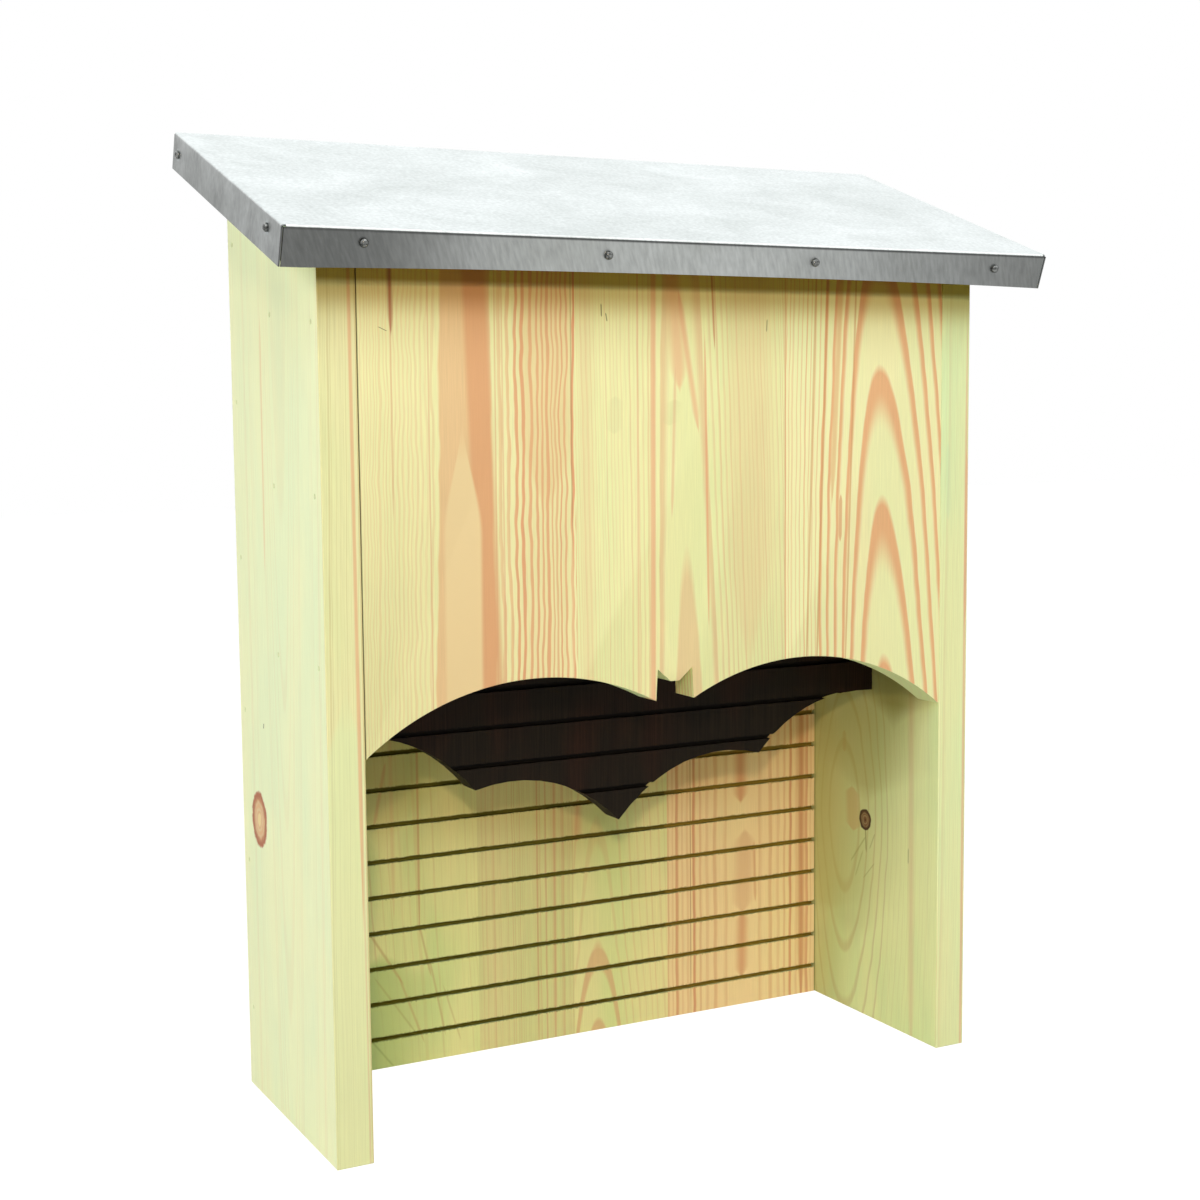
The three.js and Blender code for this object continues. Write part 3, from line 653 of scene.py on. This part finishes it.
def roof_sheet(nails):
    """Folded roof sheet with open corners, its front edge slightly bowed, dented where it was nailed."""
    bm = sheet_blank()
    middle_verts = [vert for vert in bm.verts if abs(vert.co.x) < (FLAT_X + ON_LINE) * MM]
    end_verts = [vert for vert in bm.verts if abs(vert.co.x) > (FLAT_X + ON_LINE) * MM]
    for sign in (-1, 1):
        bend_down(bm, middle_verts, Vector((0, sign, 0)), FLAT_Y)
        bend_down(bm, end_verts, Vector((sign, 0, 0)), FLAT_X)
    for vert in bm.verts:
        if vert.co.y < -FLAT_Y * MM and vert.co.z < -FOLD_RADIUS * MM:
            share = vert.co.x / (ROOF_HALF_WIDTH * MM)
            rise = BOW * max(0.0, 1 - abs(share - BOW_MIDDLE) ** BOW_BREADTH)
            vert.co.z += rise * (-FOLD_RADIUS * MM - vert.co.z)
    middle = Vector((0, (ROOF_FRONT + ROOF_REAR) / 2, SHEET_TOP)) * MM
    bmesh.ops.translate(bm, verts=bm.verts, vec=middle)
    bmesh.ops.transform(bm, matrix=ROOF_TURN, verts=bm.verts)
    for point, axis in nails:
        for vert in bm.verts:
            aside = (vert.co - point).length / MM
            if aside < DENT_REACH:
                vert.co -= axis * DENT * math.exp(-(aside / DENT_RADIUS) ** 2) * MM
    bmesh.ops.solidify(bm, geom=bm.faces[:], thickness=SHEET * MM)
    to_piece(bm, "zinc_roof_sheet", [GALVANISED], "roof_sheet", corner=30)


def outermost(node, axis):
    """The middle of a fastener's head, at its farthest along the axis."""
    verts = [v.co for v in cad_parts[node].data.vertices]
    far = max(co.dot(axis) for co in verts)
    top = [co for co in verts if co.dot(axis) > far - ON_HEAD * MM]
    return sum(top, Vector()) / len(top)


def turned_fastener(node, axis, outline, material, name, recess=0.0):
    """A nail or screw spun from its half outline in mm, with its head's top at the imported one's."""
    bm = bmesh.new()
    verts = [bm.verts.new((radius * MM, 0, height * MM)) for radius, height in outline]
    edges = [bm.edges.new(pair) for pair in zip(verts, verts[1:])]
    bmesh.ops.spin(
        bm, geom=[*verts, *edges], cent=(0, 0, 0), axis=(0, 0, 1), angle=2 * math.pi, steps=24,
        use_merge=True,
    )
    bmesh.ops.remove_doubles(bm, verts=bm.verts, dist=CUT * MM)
    bmesh.ops.recalc_face_normals(bm, faces=bm.faces)
    if recess:
        for vert in bm.verts:
            across = min(abs(vert.co.x), abs(vert.co.y)) / MM
            radius = vert.co.xy.length / MM
            if vert.co.z > -CROWN * MM and across < RECESS_HALF_WIDTH and radius < RECESS_REACH:
                vert.co.z -= recess * (1 - radius / RECESS_END) * MM
    turn = axis.to_track_quat("Z", "Y").to_matrix().to_4x4()
    bmesh.ops.transform(bm, matrix=Matrix.Translation(outermost(node, axis)) @ turn, verts=bm.verts)
    to_piece(bm, name, [material], node, corner=40)


# Half outlines in mm, from the point up to the middle of the head's top
DOMED_NAIL = [
    (0, -18.5), (0.9, -16.5), (0.9, -2.2), (2.0, -2.1), (2.05, -1.2), (1.85, -0.7), (1.35, -0.28),
    (0.7, -0.07), (0, 0),
]
PANEL_PIN = [(0, -35), (0.7, -33.5), (0.7, -0.9), (1.08, -0.8), (1.1, -0.2), (0.9, -0.05), (0.4, 0), (0, 0)]
PLATE_SCREW = [
    (0, -13.5), (1.3, -11), (1.3, -2.0), (2.85, -1.0), (2.9, -0.75), (2.5, -0.35), (1.9, -0.14),
    (1.3, -0.06), (0.8, -0.02), (0.4, 0), (0, 0),
]

REARWARD = ROOF_TURN.to_3x3() @ Vector((0, 1, 0))
ROOF_AXES = {"front": -REARWARD, "rear": REARWARD, "left": Vector((-1, 0, 0)), "right": Vector((1, 0, 0))}

GALVANISED = galvanised_sheet()
NAIL_STEEL = zinc_plated_steel("galvanised_nail_steel", "#858785", "#3E403F", 0.22)
FILLER = filled_head()
PLATE_STEEL = zinc_plated_steel("zinc_plated_strip", "#BFC0BA", "#A3A49C", 0.32)

# Shifts and turns of the frame's directions to those across a face, into it and along its grain
FRONT_SHIFT = (0, -BOX_FRONT, 0)
BACK_SHIFT = (0, -BOX_FRONT - BACK_FACE, 0)
SIDE_TURN = (0, 0, math.pi / 2)
ROOF_GRAIN = (-ROOF_PITCH, -math.pi / 2, 0)
ROOF_LOG = Log(pith=-60, depth=20, late=0.45, left=0.5, warp=1.5, seed=79)

# Front staves, from left to right: the joints between them, and the log that each was cut from
FRONT_JOINTS = [-53.6, 63.9]
FRONT_LEFT_WOOD = softwood(
    "pine_front_left", FRONT_SHIFT,
    Log(
        pith=-110.4, depth=40, level=294, lean=0.012, upward=0.003, downward=-0.0073, rate=1.6, kink=42.4,
        inner=4.6, outer=1.95, late=0.52, inner_late=1.0, soft=0.3, core=0.55, left=0.24, right=1.0,
        turn=(-98, -83), ripple=2.8, chance=0.35, seed=3,
    ),
    early="#F2E8AD", green="#E2E2A2", late="#E39C71", greenness=0.25, lip=True,
    streaks=[
        Streak((-69, 60), (-69, 600), 34, "#EBCB96", 0.25, 0.4),
        Streak((-69, 290), (-69, 520), 34, "#DFAA76", 0.25, 0.5),
        Streak((-94.4, 100), (-110.3, 560), 15, "#DC9568", 0.62, 0.45),
        Streak((-113.2, 60), (-111.8, 346), 21, "#EDD09B", 1.0, 0.25),
        Streak((-161.8, 100), (-161.8, 520), 0.8, "#4A3C18", 0.65, 0.6),
        Streak((-55.9, 60), (-55.9, 310), 2.6, "#E8D09A", 0.5, 0.8),
        Streak((-128.4, 160), (-127.8, 470), 1.0, "#E2A780", 0.5, 0.6),
        Streak((-95.6, 160), (-94.6, 470), 1.0, "#DDA277", 0.5, 0.6),
        Streak((-91.3, 160), (-91.3, 470), 1.2, "#E2A780", 0.5, 0.7),
        Streak((-55.8, 270), (-55.6, 470), 1.2, "#B08A58", 0.55, 0.8),
        Streak((-146.2, 290), (-145.8, 430), 1.2, "#D9946E", 0.4, 0.6),
        Streak((-145.6, 377), (-146.4, 450), 3.8, "#A84B33", 0.7, 0.9),
        Streak((-152.0, 384.4), (-147.2, 382.2), 1.0, "#6E6440", 0.8, 0.5),
    ],
)
FRONT_MIDDLE_WOOD = softwood(
    "pine_front_middle", FRONT_SHIFT,
    Log(
        pith=6.6, depth=39, level=290, lean=-0.02, upward=0.0118, downward=-0.0118, rate=1.15, kink=41.8,
        inner=2.9, outer=1.55, late=0.5, core=0.55, left=0.45, turn=(-30, 20), ripple=0.9, chance=0.7,
        seed=14,
    ),
    early="#F0E8AB", green="#E2E6A6", late="#E2AE82", lip=True,
    streaks=[
        Streak((-48, 160), (-48, 560), 14, "#E6C592", 0.4),
        Streak((43, 200), (43, 640), 38, "#E6C18E", 0.35, 0.7),
        Streak((-12.9, 120), (-10.6, 520), 4.2, "#E9AE84", 0.75, 0.7),
        Streak((-20.6, 120), (-19.6, 520), 1.5, "#E6B68C", 0.6, 0.8),
        Streak((3.6, 352), (-1.5, 432), 13, "#EBA980", 0.6, 0.9),
        Streak((14.5, 332), (2.0, 408), 5, "#E9A67E", 0.6, 0.9),
        Streak((-1.5, 290), (1.2, 372), 2.6, "#E6B68C", 0.6, 0.9),
        Streak((19.6, 230), (17.4, 392), 1.8, "#E59F76", 0.7, 0.7),
        Streak((23.4, 372), (20.2, 440), 1.6, "#C8744E", 0.7, 0.7),
        Streak((-3, 338), (1, 352), 12, "#C9BE84", 0.22),
        Streak((-33, 334), (-32, 354), 12, "#C6BE8A", 0.2),
        Streak((-39.2, 390), (-39.4, 397), 0.8, "#6E6440", 0.8, 0.5),
        Streak((-36.2, 388), (-37.0, 392.5), 0.8, "#6E6440", 0.7, 0.5),
        Streak((53.2, 384), (53.6, 391), 0.8, "#6E6440", 0.6, 0.5),
    ],
)
FRONT_RIGHT_WOOD = softwood(
    "pine_front_right", FRONT_SHIFT,
    Log(
        pith=123.4, depth=35, level=302.1, lean=-0.024, upward=0.0612, downward=-0.0495, spread=(0.88, 1.1),
        kink=55.5, inner=4.1, outer=2.3, late=0.42, inner_late=0.52, soft=0.68, core=0.88, left=0.85,
        right=0.65, turn=(64, 162), ripple=1.2, chance=0.6, seed=22,
    ),
    early="#F4EAB0", green="#E6EDB0", late="#E6A676", greenness=0.25, lip=True,
    streaks=[
        Streak((92.2, 290), (99.6, 440), 4.6, "#DFA46F", 0.6, 0.8),
        Streak((97.8, 277), (98.2, 304), 2.6, "#D9966A", 0.7, 0.6),
        Streak((76.6, 190), (83.6, 440), 1.7, "#D39A66", 0.6, 0.6),
        Streak((82.8, 190), (91.2, 450), 1.9, "#D0925E", 0.6, 0.6),
        Streak((100.6, 190), (108.4, 450), 1.5, "#D29662", 0.6, 0.6),
        Streak((64.6, 160), (64.2, 450), 1.3, "#DDA272", 0.7, 0.7),
    ],
)

# Back staves, behind the landing: the same, seen from the front. Their colours are darker than the front
# staves', partly as painted shade inside the box
BACK_JOINTS = [-56.3, 1.5, 61.3]
BACK_LEFT_WOOD = softwood(
    "pine_back_left", BACK_SHIFT,
    Log(
        pith=-150, depth=34, level=68, upward=0.05, downward=-0.09, kink=36, inner=4.5, outer=4.2,
        late=0.25, core=0.35, left=0.4, right=0.22, turn=(-130, -60), warp=1.5, ripple=1.0, chance=0.7,
        seed=41,
    ),
    early="#E8DD97", green="#C8D488", late="#CC9868", greenness=0.4, kerf_tone="#6A6204",
    streaks=[
        # Painted shade over the upper left part, under the front panel
        Streak((-110, 110), (-110, 420), 130, "#B4A860", 0.45, 0.8),
        Streak((-90.4, 60), (-90, 260), 2.0, "#C4875C", 0.6, 0.8),
        Streak((-104.8, 70), (-105.4, 240), 4, "#D29A6C", 0.3),
        Streak((-118, -60), (-112, 66), 90, "#AEBC70", 0.8),
        Streak((-115.5, 128), (-107.5, 166), 3.5, "#CF9468", 0.5),
        Streak((-88, 8), (-104, 52), 2.4, "#BC9058", 0.45),
        Streak((-99, 42), (-120, 76), 3, "#BC9058", 0.5),
        Streak((-76, 10), (-85.5, 58), 2, "#BC8C5C", 0.45),
        Streak((-83.8, 44), (-91.2, 78), 2.2, "#BC8C5C", 0.5),
        Streak((-92, 14), (-118, 52), 2.4, "#A89C58", 0.45),
        Streak((-105, -2), (-122, 20), 2.4, "#8E9450", 0.5),
        Streak((-67, 6), (-78, 42), 1.8, "#BC9460", 0.35),
    ],
)
BACK_INNER_LEFT_WOOD = softwood(
    "pine_back_inner_left", BACK_SHIFT,
    Log(
        pith=-90, depth=20, level=100, outer=2.0, left=0.42, right=0.62, turn=(-50, -10), warp=1,
        ripple=0.8, chance=0.8, seed=47,
    ),
    early="#DCCE8E", green="#C8D086", late="#CC946A", greenness=0.25, kerf_tone="#6A6204",
    streaks=[
        Streak((2.0, 90), (3.6, 200), 3.2, "#CC8A62", 0.6, 0.9),
        Streak((-10.5, -20), (-9.6, 200), 3.0, "#CE9068", 0.5, 0.9),
        Streak((-20.8, -20), (-20.4, 200), 1.6, "#C98A62", 0.6, 0.9),
    ],
)
BACK_INNER_RIGHT_WOOD = softwood(
    "pine_back_inner_right", BACK_SHIFT,
    Log(
        pith=16.5, depth=20, level=46.9, upward=0.05, downward=-0.12, kink=20.3, inner=5.0, outer=3.6,
        late=0.3, inner_late=0.4, soft=0.4, core=0.6, left=0.3, right=0.3, turn=(0, 60), ripple=0.8,
        seed=53,
    ),
    early="#E6D896", green="#CED88C", late="#D4966C", kerf_tone="#706004",
    streaks=[Streak((4, 108), (4.5, 134), 9, "#D89A72", 0.5)],
)
BACK_RIGHT_WOOD = softwood(
    "pine_back_right", BACK_SHIFT,
    Log(
        pith=112, depth=46, level=90, kink=48, inner=9, outer=2.3, late=0.55, inner_late=0.1, soft=0.5,
        core=0.3, left=0.8, right=0.75, turn=(64, 162), ripple=1.2, chance=0.75, seed=59,
    ),
    early="#ECCC95", green="#DED48E", late="#CE8258", greenness=0.12, kerf_tone="#947A22",
    streaks=[
        Streak((110.5, 118), (110.3, 158), 13, "#CC7F55", 0.7),
        Streak((111.5, 52), (113.4, 106), 19, "#D8A67A", 0.6, 0.8),
        Streak((120.5, 58), (119.5, 98), 3, "#C9764E", 0.5),
        Streak((110.8, 14), (111.5, 58), 12, "#CC8158", 0.65),
        Streak((152.4, -20), (152.2, 240), 7, "#BF6F45", 0.6, 0.8),
        Streak((76.6, -20), (76.6, 240), 1.1, "#A86444", 0.6, 0.8),
    ],
)

LEFT_WOOD = softwood(
    "pine_left_side", (BOX_FRONT, BOX_HALF_WIDTH, 0),
    Log(
        pith=-60, depth=-70, level=200, lean=0.02, upward=0.01, downward=-0.01, outer=2.1, left=0.14,
        right=0.14, warp=1.2, seed=67,
    ),
    turn=SIDE_TURN, early="#F8FED2", green="#EEFCD4", late="#DDA878", greenness=0.4,
    streaks=[
        Streak((-85.4, 262), (-83, 400), 3.5, "#EBC08F", 0.4, 0.8),
        Streak((-94.2, 191.5), (-93.6, 194.5), 1.2, "#5B5B3A", 0.9, 0.4),
    ],
    knots=[Knot((-105, 144), (11, 13), "#DCA87C", "#A5553E", "#F0DDA8", 0.85)],
)
RIGHT_WOOD = softwood(
    "pine_right_side", (BOX_FRONT, -INNER_HALF_WIDTH, 0),
    Log(
        pith=-86, depth=30, level=116, upward=0.15, downward=0.13, rounded=22, kink=51.3, inner=4.3,
        outer=3.4, late=0.3, inner_late=0.3, core=0.34, left=0.2, right=0.12, turn=(-64, -44), warp=3.5,
        ripple=2.2, seed=73,
    ),
    turn=SIDE_TURN, early="#F2FABE", green="#DEF2B4", late="#BFA868", greenness=0.5,
    streaks=[
        Streak((-77.6, 104), (-79.2, 132), 17, "#DDA878", 0.5, 0.6),
        Streak((-86.9, 149), (-86.9, 163), 6, "#D9AE7C", 0.5),
        Streak((-22, -30), (-25, 260), 9, "#DDB58A", 0.34),
        Streak((-64.9, 94), (-66.2, 113), 1.8, "#6E6C40", 0.6, 0.8),
        Streak((-81, 86), (-64.4, 105.5), 2.4, "#94A060", 0.5),
        Streak((-62.2, 97), (-56.6, 108), 1.8, "#88905A", 0.4),
        Streak((-68.4, 79), (-56.4, 91), 1.8, "#8A9458", 0.4),
        Streak((-76, 78), (-67.6, 97), 2.0, "#94A060", 0.4),
        Streak((-25.9, 96), (-25.8, 106), 1.4, "#8A9A5C", 0.5, 0.8),
        Streak((-116.6, -60), (-116.6, 330), 1.3, "#4A4A1C", 0.75, 0.4),
        # Painted shade on the inner face: darker towards its top, under the front panel, and towards the
        # back panel
        Streak((-80, 20), (-80, 420), 150, "#A0964A", 0.25),
        Streak((-66, 118), (-66, 320), 150, "#A0964A", 0.4),
        Streak((-40, 165), (-40, 400), 170, "#8A8038", 0.7),
        Streak((-112, -60), (-112, 200), 76, "#BEBA70", 0.55),
        Streak((-108, 45), (-108, 200), 130, "#BEBA70", 0.4),
    ],
    knots=[Knot((-66.2, 113.8), (5.2, 5.6), "#7A4A32", "#3C2A1C", "#5A3A28", 0.95)],
)

# The side boards' front edges
LEFT_EDGE_WOOD = softwood(
    "pine_left_edge", FRONT_SHIFT,
    Log(
        pith=-250, depth=20, level=200, lean=0.01, outer=1.3, left=0.55, right=0.42, turn=(-180, -164),
        warp=1.5, ripple=0.3, chance=0.8, seed=83,
    ),
    early="#E9DFA8", green="#DDDFA2", late="#BFA46C", lip=True,
    streaks=[
        Streak((-171, -120), (-171, 230), 44, "#D8E8B0", 0.38, 0.5),
        Streak((-164.6, 90), (-165.6, 520), 2.4, "#E09C74", 0.6, 0.7),
        Streak((-163.4, -90), (-164.4, 260), 1.1, "#D8A482", 0.4, 0.6),
        Streak((-162.4, -90), (-162.4, 520), 1.4, "#D3B87C", 0.6, 0.6),
    ],
)
RIGHT_EDGE_WOOD = softwood(
    "pine_right_edge", FRONT_SHIFT,
    Log(
        pith=90, depth=20, level=200, lean=0.01, outer=1.7, left=0.25, right=0.25, warp=1.5, ripple=0.4,
        chance=0.8, seed=89,
    ),
    early="#EAE9AD", green="#DEEAB0", late="#D0A672", greenness=0.45, lip=True,
    streaks=[
        Streak((178.6, 225), (179, 330), 3.0, "#E5A07E", 0.6, 0.8),
        Streak((178.4, -80), (178.6, 420), 2.2, "#E0A684", 0.6, 0.7),
        Streak((167, 285), (166.5, 330), 5.0, "#CDE0B0", 0.35),
    ],
)
ROOF_WOOD = softwood("pine_roof_board", (0, 0, 0), ROOF_LOG, turn=ROOF_GRAIN)
# The rim of the roof board, dark with painted shade from under the sheet's flanges, where it shows at the
# open corners
ROOF_RIM_PAINTED_SHADE = softwood(
    "pine_roof_rim_painted_shade", (0, 0, 0), ROOF_LOG, turn=ROOF_GRAIN,
    early="#3E382A", green="#37362A", late="#2C241A", greenness=0.5,
)
STAINED = dark_stain()


def glued_panel(node, joints, staves, face=None):
    """A panel glued from staves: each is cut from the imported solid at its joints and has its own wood."""
    edges = [-INNER_HALF_WIDTH - 1, *joints, INNER_HALF_WIDTH + 1]
    draw = random.Random(7)
    for left, right, (name, wood) in zip(edges, edges[1:], staves.items()):
        bm = solid_copy(node)
        if left > -INNER_HALF_WIDTH:
            saw_off(bm, left, keep_right=True)
        if right < INNER_HALF_WIDTH:
            saw_off(bm, right, keep_right=False)
        if face is None:
            ease_edges(bm, PANEL_EASING)
        else:
            kerfed_board(bm, left, right, face, draw)
        to_piece(bm, name, [wood], node)


glued_panel("front_panel", FRONT_JOINTS, {
    "front_stave_left": FRONT_LEFT_WOOD,
    "front_stave_middle": FRONT_MIDDLE_WOOD,
    "front_stave_right": FRONT_RIGHT_WOOD,
})
glued_panel("back_panel", BACK_JOINTS, {
    "back_stave_left": BACK_LEFT_WOOD,
    "back_stave_inner_left": BACK_INNER_LEFT_WOOD,
    "back_stave_inner_right": BACK_INNER_RIGHT_WOOD,
    "back_stave_right": BACK_RIGHT_WOOD,
}, BACK_FACE)

partition = solid_copy("partition")
kerfed_board(partition, -INNER_HALF_WIDTH, INNER_HALF_WIDTH, PARTITION_FACE, random.Random(11))
to_piece(partition, "stained_partition", [STAINED], "partition")

for node, name, woods, slot in (
    ("left_side", "left_board", [LEFT_WOOD, LEFT_EDGE_WOOD], "green_pine"),
    ("right_side", "right_board", [RIGHT_WOOD, RIGHT_EDGE_WOOD], "green_pine"),
    ("roof_board", "roof_board_timber", [ROOF_WOOD, ROOF_RIM_PAINTED_SHADE], "pine"),
):
    board = solid_copy(node)
    ease_edges(board, BOARD_EASING)
    for face in board.faces:
        if node == "roof_board":
            on_edge = abs(face.normal.dot(ROOF_AXES["front"])) > 0.5 or abs(face.normal.x) > 0.5
        else:
            on_edge = face.calc_center_median().y < (BOX_FRONT + BOARD_EASING) * MM
        face.material_index = int(on_edge)
    to_piece(board, name, woods, node)

# Fasteners
sheet_dents = []
for side, count in (("front", 4), ("rear", 4), ("left", 2), ("right", 2)):
    for number in range(1, count + 1):
        node = f"roof_nail_{side}_{number}"
        axis = ROOF_AXES[side]
        sheet_dents.append((outermost(node, axis) - axis * NAIL_SINK * MM, axis))
        turned_fastener(node, axis, DOMED_NAIL, NAIL_STEEL, f"domed_{node}")
roof_sheet(sheet_dents)

for side, sign in (("left", -1), ("right", 1)):
    for row, count in (("front", 3), ("partition", 3), ("back", 6)):
        for number in range(1, count + 1):
            pin = f"{side}_{row}_{number}"
            turned_fastener(f"brad_{pin}", Vector((sign, 0, 0)), PANEL_PIN, FILLER, f"panel_pin_{pin}")
    for place in ("upper", "lower"):
        node = f"plate_screw_{side}_{place}"
        turned_fastener(node, Vector((0, 1, 0)), PLATE_SCREW, NAIL_STEEL, f"cross_{node}", recess=RECESS)
    node = f"keyhole_plate_{side}"
    plate = solid_copy(node)
    ease_edges(plate, PLATE_EASING, lies_across, shortest=1.0)
    to_piece(plate, f"keyhole_strip_{side}", [PLATE_STEEL], node, corner=25)

for name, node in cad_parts.items():
    if name.startswith("roof_board_nail_"):
        node.data.materials.clear()
        node.data.materials.append(NAIL_STEEL)


# Floor, light and camera

# The photo's camera, in metres: where it stands, where it looks and what lies to its right. Then its lens
# and sensor in mm, and how many metres the floor reaches
CAMERA_PLACE = (-0.4542, -0.8444, 0.3448)
CAMERA_SIGHT = (0.46068, 0.88200, -0.09924)
CAMERA_RIGHT = (0.88592, -0.46375, -0.00907)
CAMERA_LENS = 56.06
CAMERA_SENSOR = 36.0
FLOOR_REACH = 6

# How brightly the white floor glows where it is seen, how much of it, and the light from the white walls
FLOOR_GLOW = 1.26
FLOOR_GLOW_SHARE = 0.8
WALL_LIGHT = 0.02


def white_ground():
    """A matt white floor that looks white in the picture and in reflections, and keeps a soft shadow."""
    material, add = new_material("matt_white_floor")
    path = add("LightPath", {}, out=None).outputs
    seen = add("Math", {0: path["Is Camera Ray"], 1: path["Is Glossy Ray"]}, operation="MAXIMUM")
    seen = add("Math", {0: seen, 1: path["Is Transmission Ray"]}, operation="MAXIMUM")
    share = add("Math", {0: seen, 1: FLOOR_GLOW_SHARE}, operation="MULTIPLY")
    matt = add("BsdfDiffuse", {"Color": linear("#D0C4AE")})
    glow = add("Emission", {"Color": (1, 1, 1, 1), "Strength": FLOOR_GLOW})
    surface = add("MixShader", {0: share, 1: matt, 2: glow})
    add("OutputMaterial", {0: surface}, out=None)
    return material


def area_lamp(name, place, target, size, power, tone="#FFFFFF", even=False, mirrored=True, spread=180):
    """A square lamp, left out of reflections unless it is mirrored.

    An even one is as strong on far things as on near ones."""
    data = bpy.data.lights.new(name, "AREA")
    data.size = size
    data.energy = power
    data.color = linear(tone)[:3]
    data.spread = math.radians(spread)
    if even:
        add = emptied(data)
        level = add("LightFalloff", {"Strength": 1.0}, out="Constant")
        light = add("Emission", {"Strength": level})
        add("OutputLight", {0: light}, out=None)
    lamp = new_object(name, data)
    lamp.visible_glossy = mirrored
    lamp.location = place
    lamp.rotation_euler = (Vector(target) - Vector(place)).to_track_quat("-Z", "Y").to_euler()


floor_mesh = bmesh.new()
bmesh.ops.create_grid(floor_mesh, x_segments=4, y_segments=4, size=FLOOR_REACH)
floor_data = bpy.data.meshes.new("floor")
floor_mesh.to_mesh(floor_data)
floor_mesh.free()
floor_data.materials.append(white_ground())
new_object("floor", floor_data)

# A small warm lamp above the camera gives the crisp shadows, and a large cool one overhead the soft light
# that the roof holds off. A narrow warm fill lights the lowest part, and two softboxes light the left
# side, and the right and back
area_lamp("camera_lamp", (-0.533, -0.984, 0.625), (0, 0, 0.28), 0.06, 2.15, "#FFE3C6", even=True)
area_lamp("front_softbox", (-0.3, -1.5, 1.66), (0, 0, 0.3), 1.5, 42, "#DEF1FF", mirrored=False)
area_lamp("low_fill", (-0.75, -1.25, 0.1), (0.12, 0, 0.02), 0.8, 0.6, "#F8EBD6", mirrored=False, spread=60)
area_lamp("left_softbox", (-1.6, -0.05, 1.0), (-0.18, 0.05, 0.25), 0.9, 13.9, mirrored=False)
area_lamp("rear_softbox", (1.25, 1.1, 0.9), (0.05, 0.05, 0.25), 1.2, 12, mirrored=False)

world = bpy.data.worlds.new("studio")
bpy.context.scene.world = world
add = emptied(world)
path = add("LightPath", {}, out=None).outputs
seen = add("Math", {0: path["Is Camera Ray"], 1: path["Is Transmission Ray"]}, operation="MAXIMUM")
strength = add("MapRange", {0: seen, 3: WALL_LIGHT})
# In reflections the white walls grow brighter overhead
incoming = add("NewGeometry", {}, out="Incoming")
slant = add("SeparateXYZ", {0: incoming}, out=2)
mirrored = add("MapRange", {0: slant, 1: -0.15, 2: -0.6, 3: 1.0, 4: 2.3}, **SMOOTH)
strength = add("MapRange", {0: path["Is Glossy Ray"], 3: strength, 4: mirrored})
backdrop = add("Background", {"Color": (1, 1, 1, 1), "Strength": strength})
add("OutputWorld", {0: backdrop}, out=None)

camera_data = bpy.data.cameras.new("camera")
camera_data.sensor_width = CAMERA_SENSOR
camera_data.lens = CAMERA_LENS
camera_data.clip_start = 0.02
camera = new_object("camera", camera_data)
right = Vector(CAMERA_RIGHT).normalized()
back = -Vector(CAMERA_SIGHT).normalized()
up = back.cross(right).normalized()
right = up.cross(back)
camera.matrix_world = Matrix.Translation(CAMERA_PLACE) @ Matrix((right, up, back)).transposed().to_4x4()
bpy.context.scene.camera = camera

bpy.context.scene.view_settings.view_transform = "Standard"
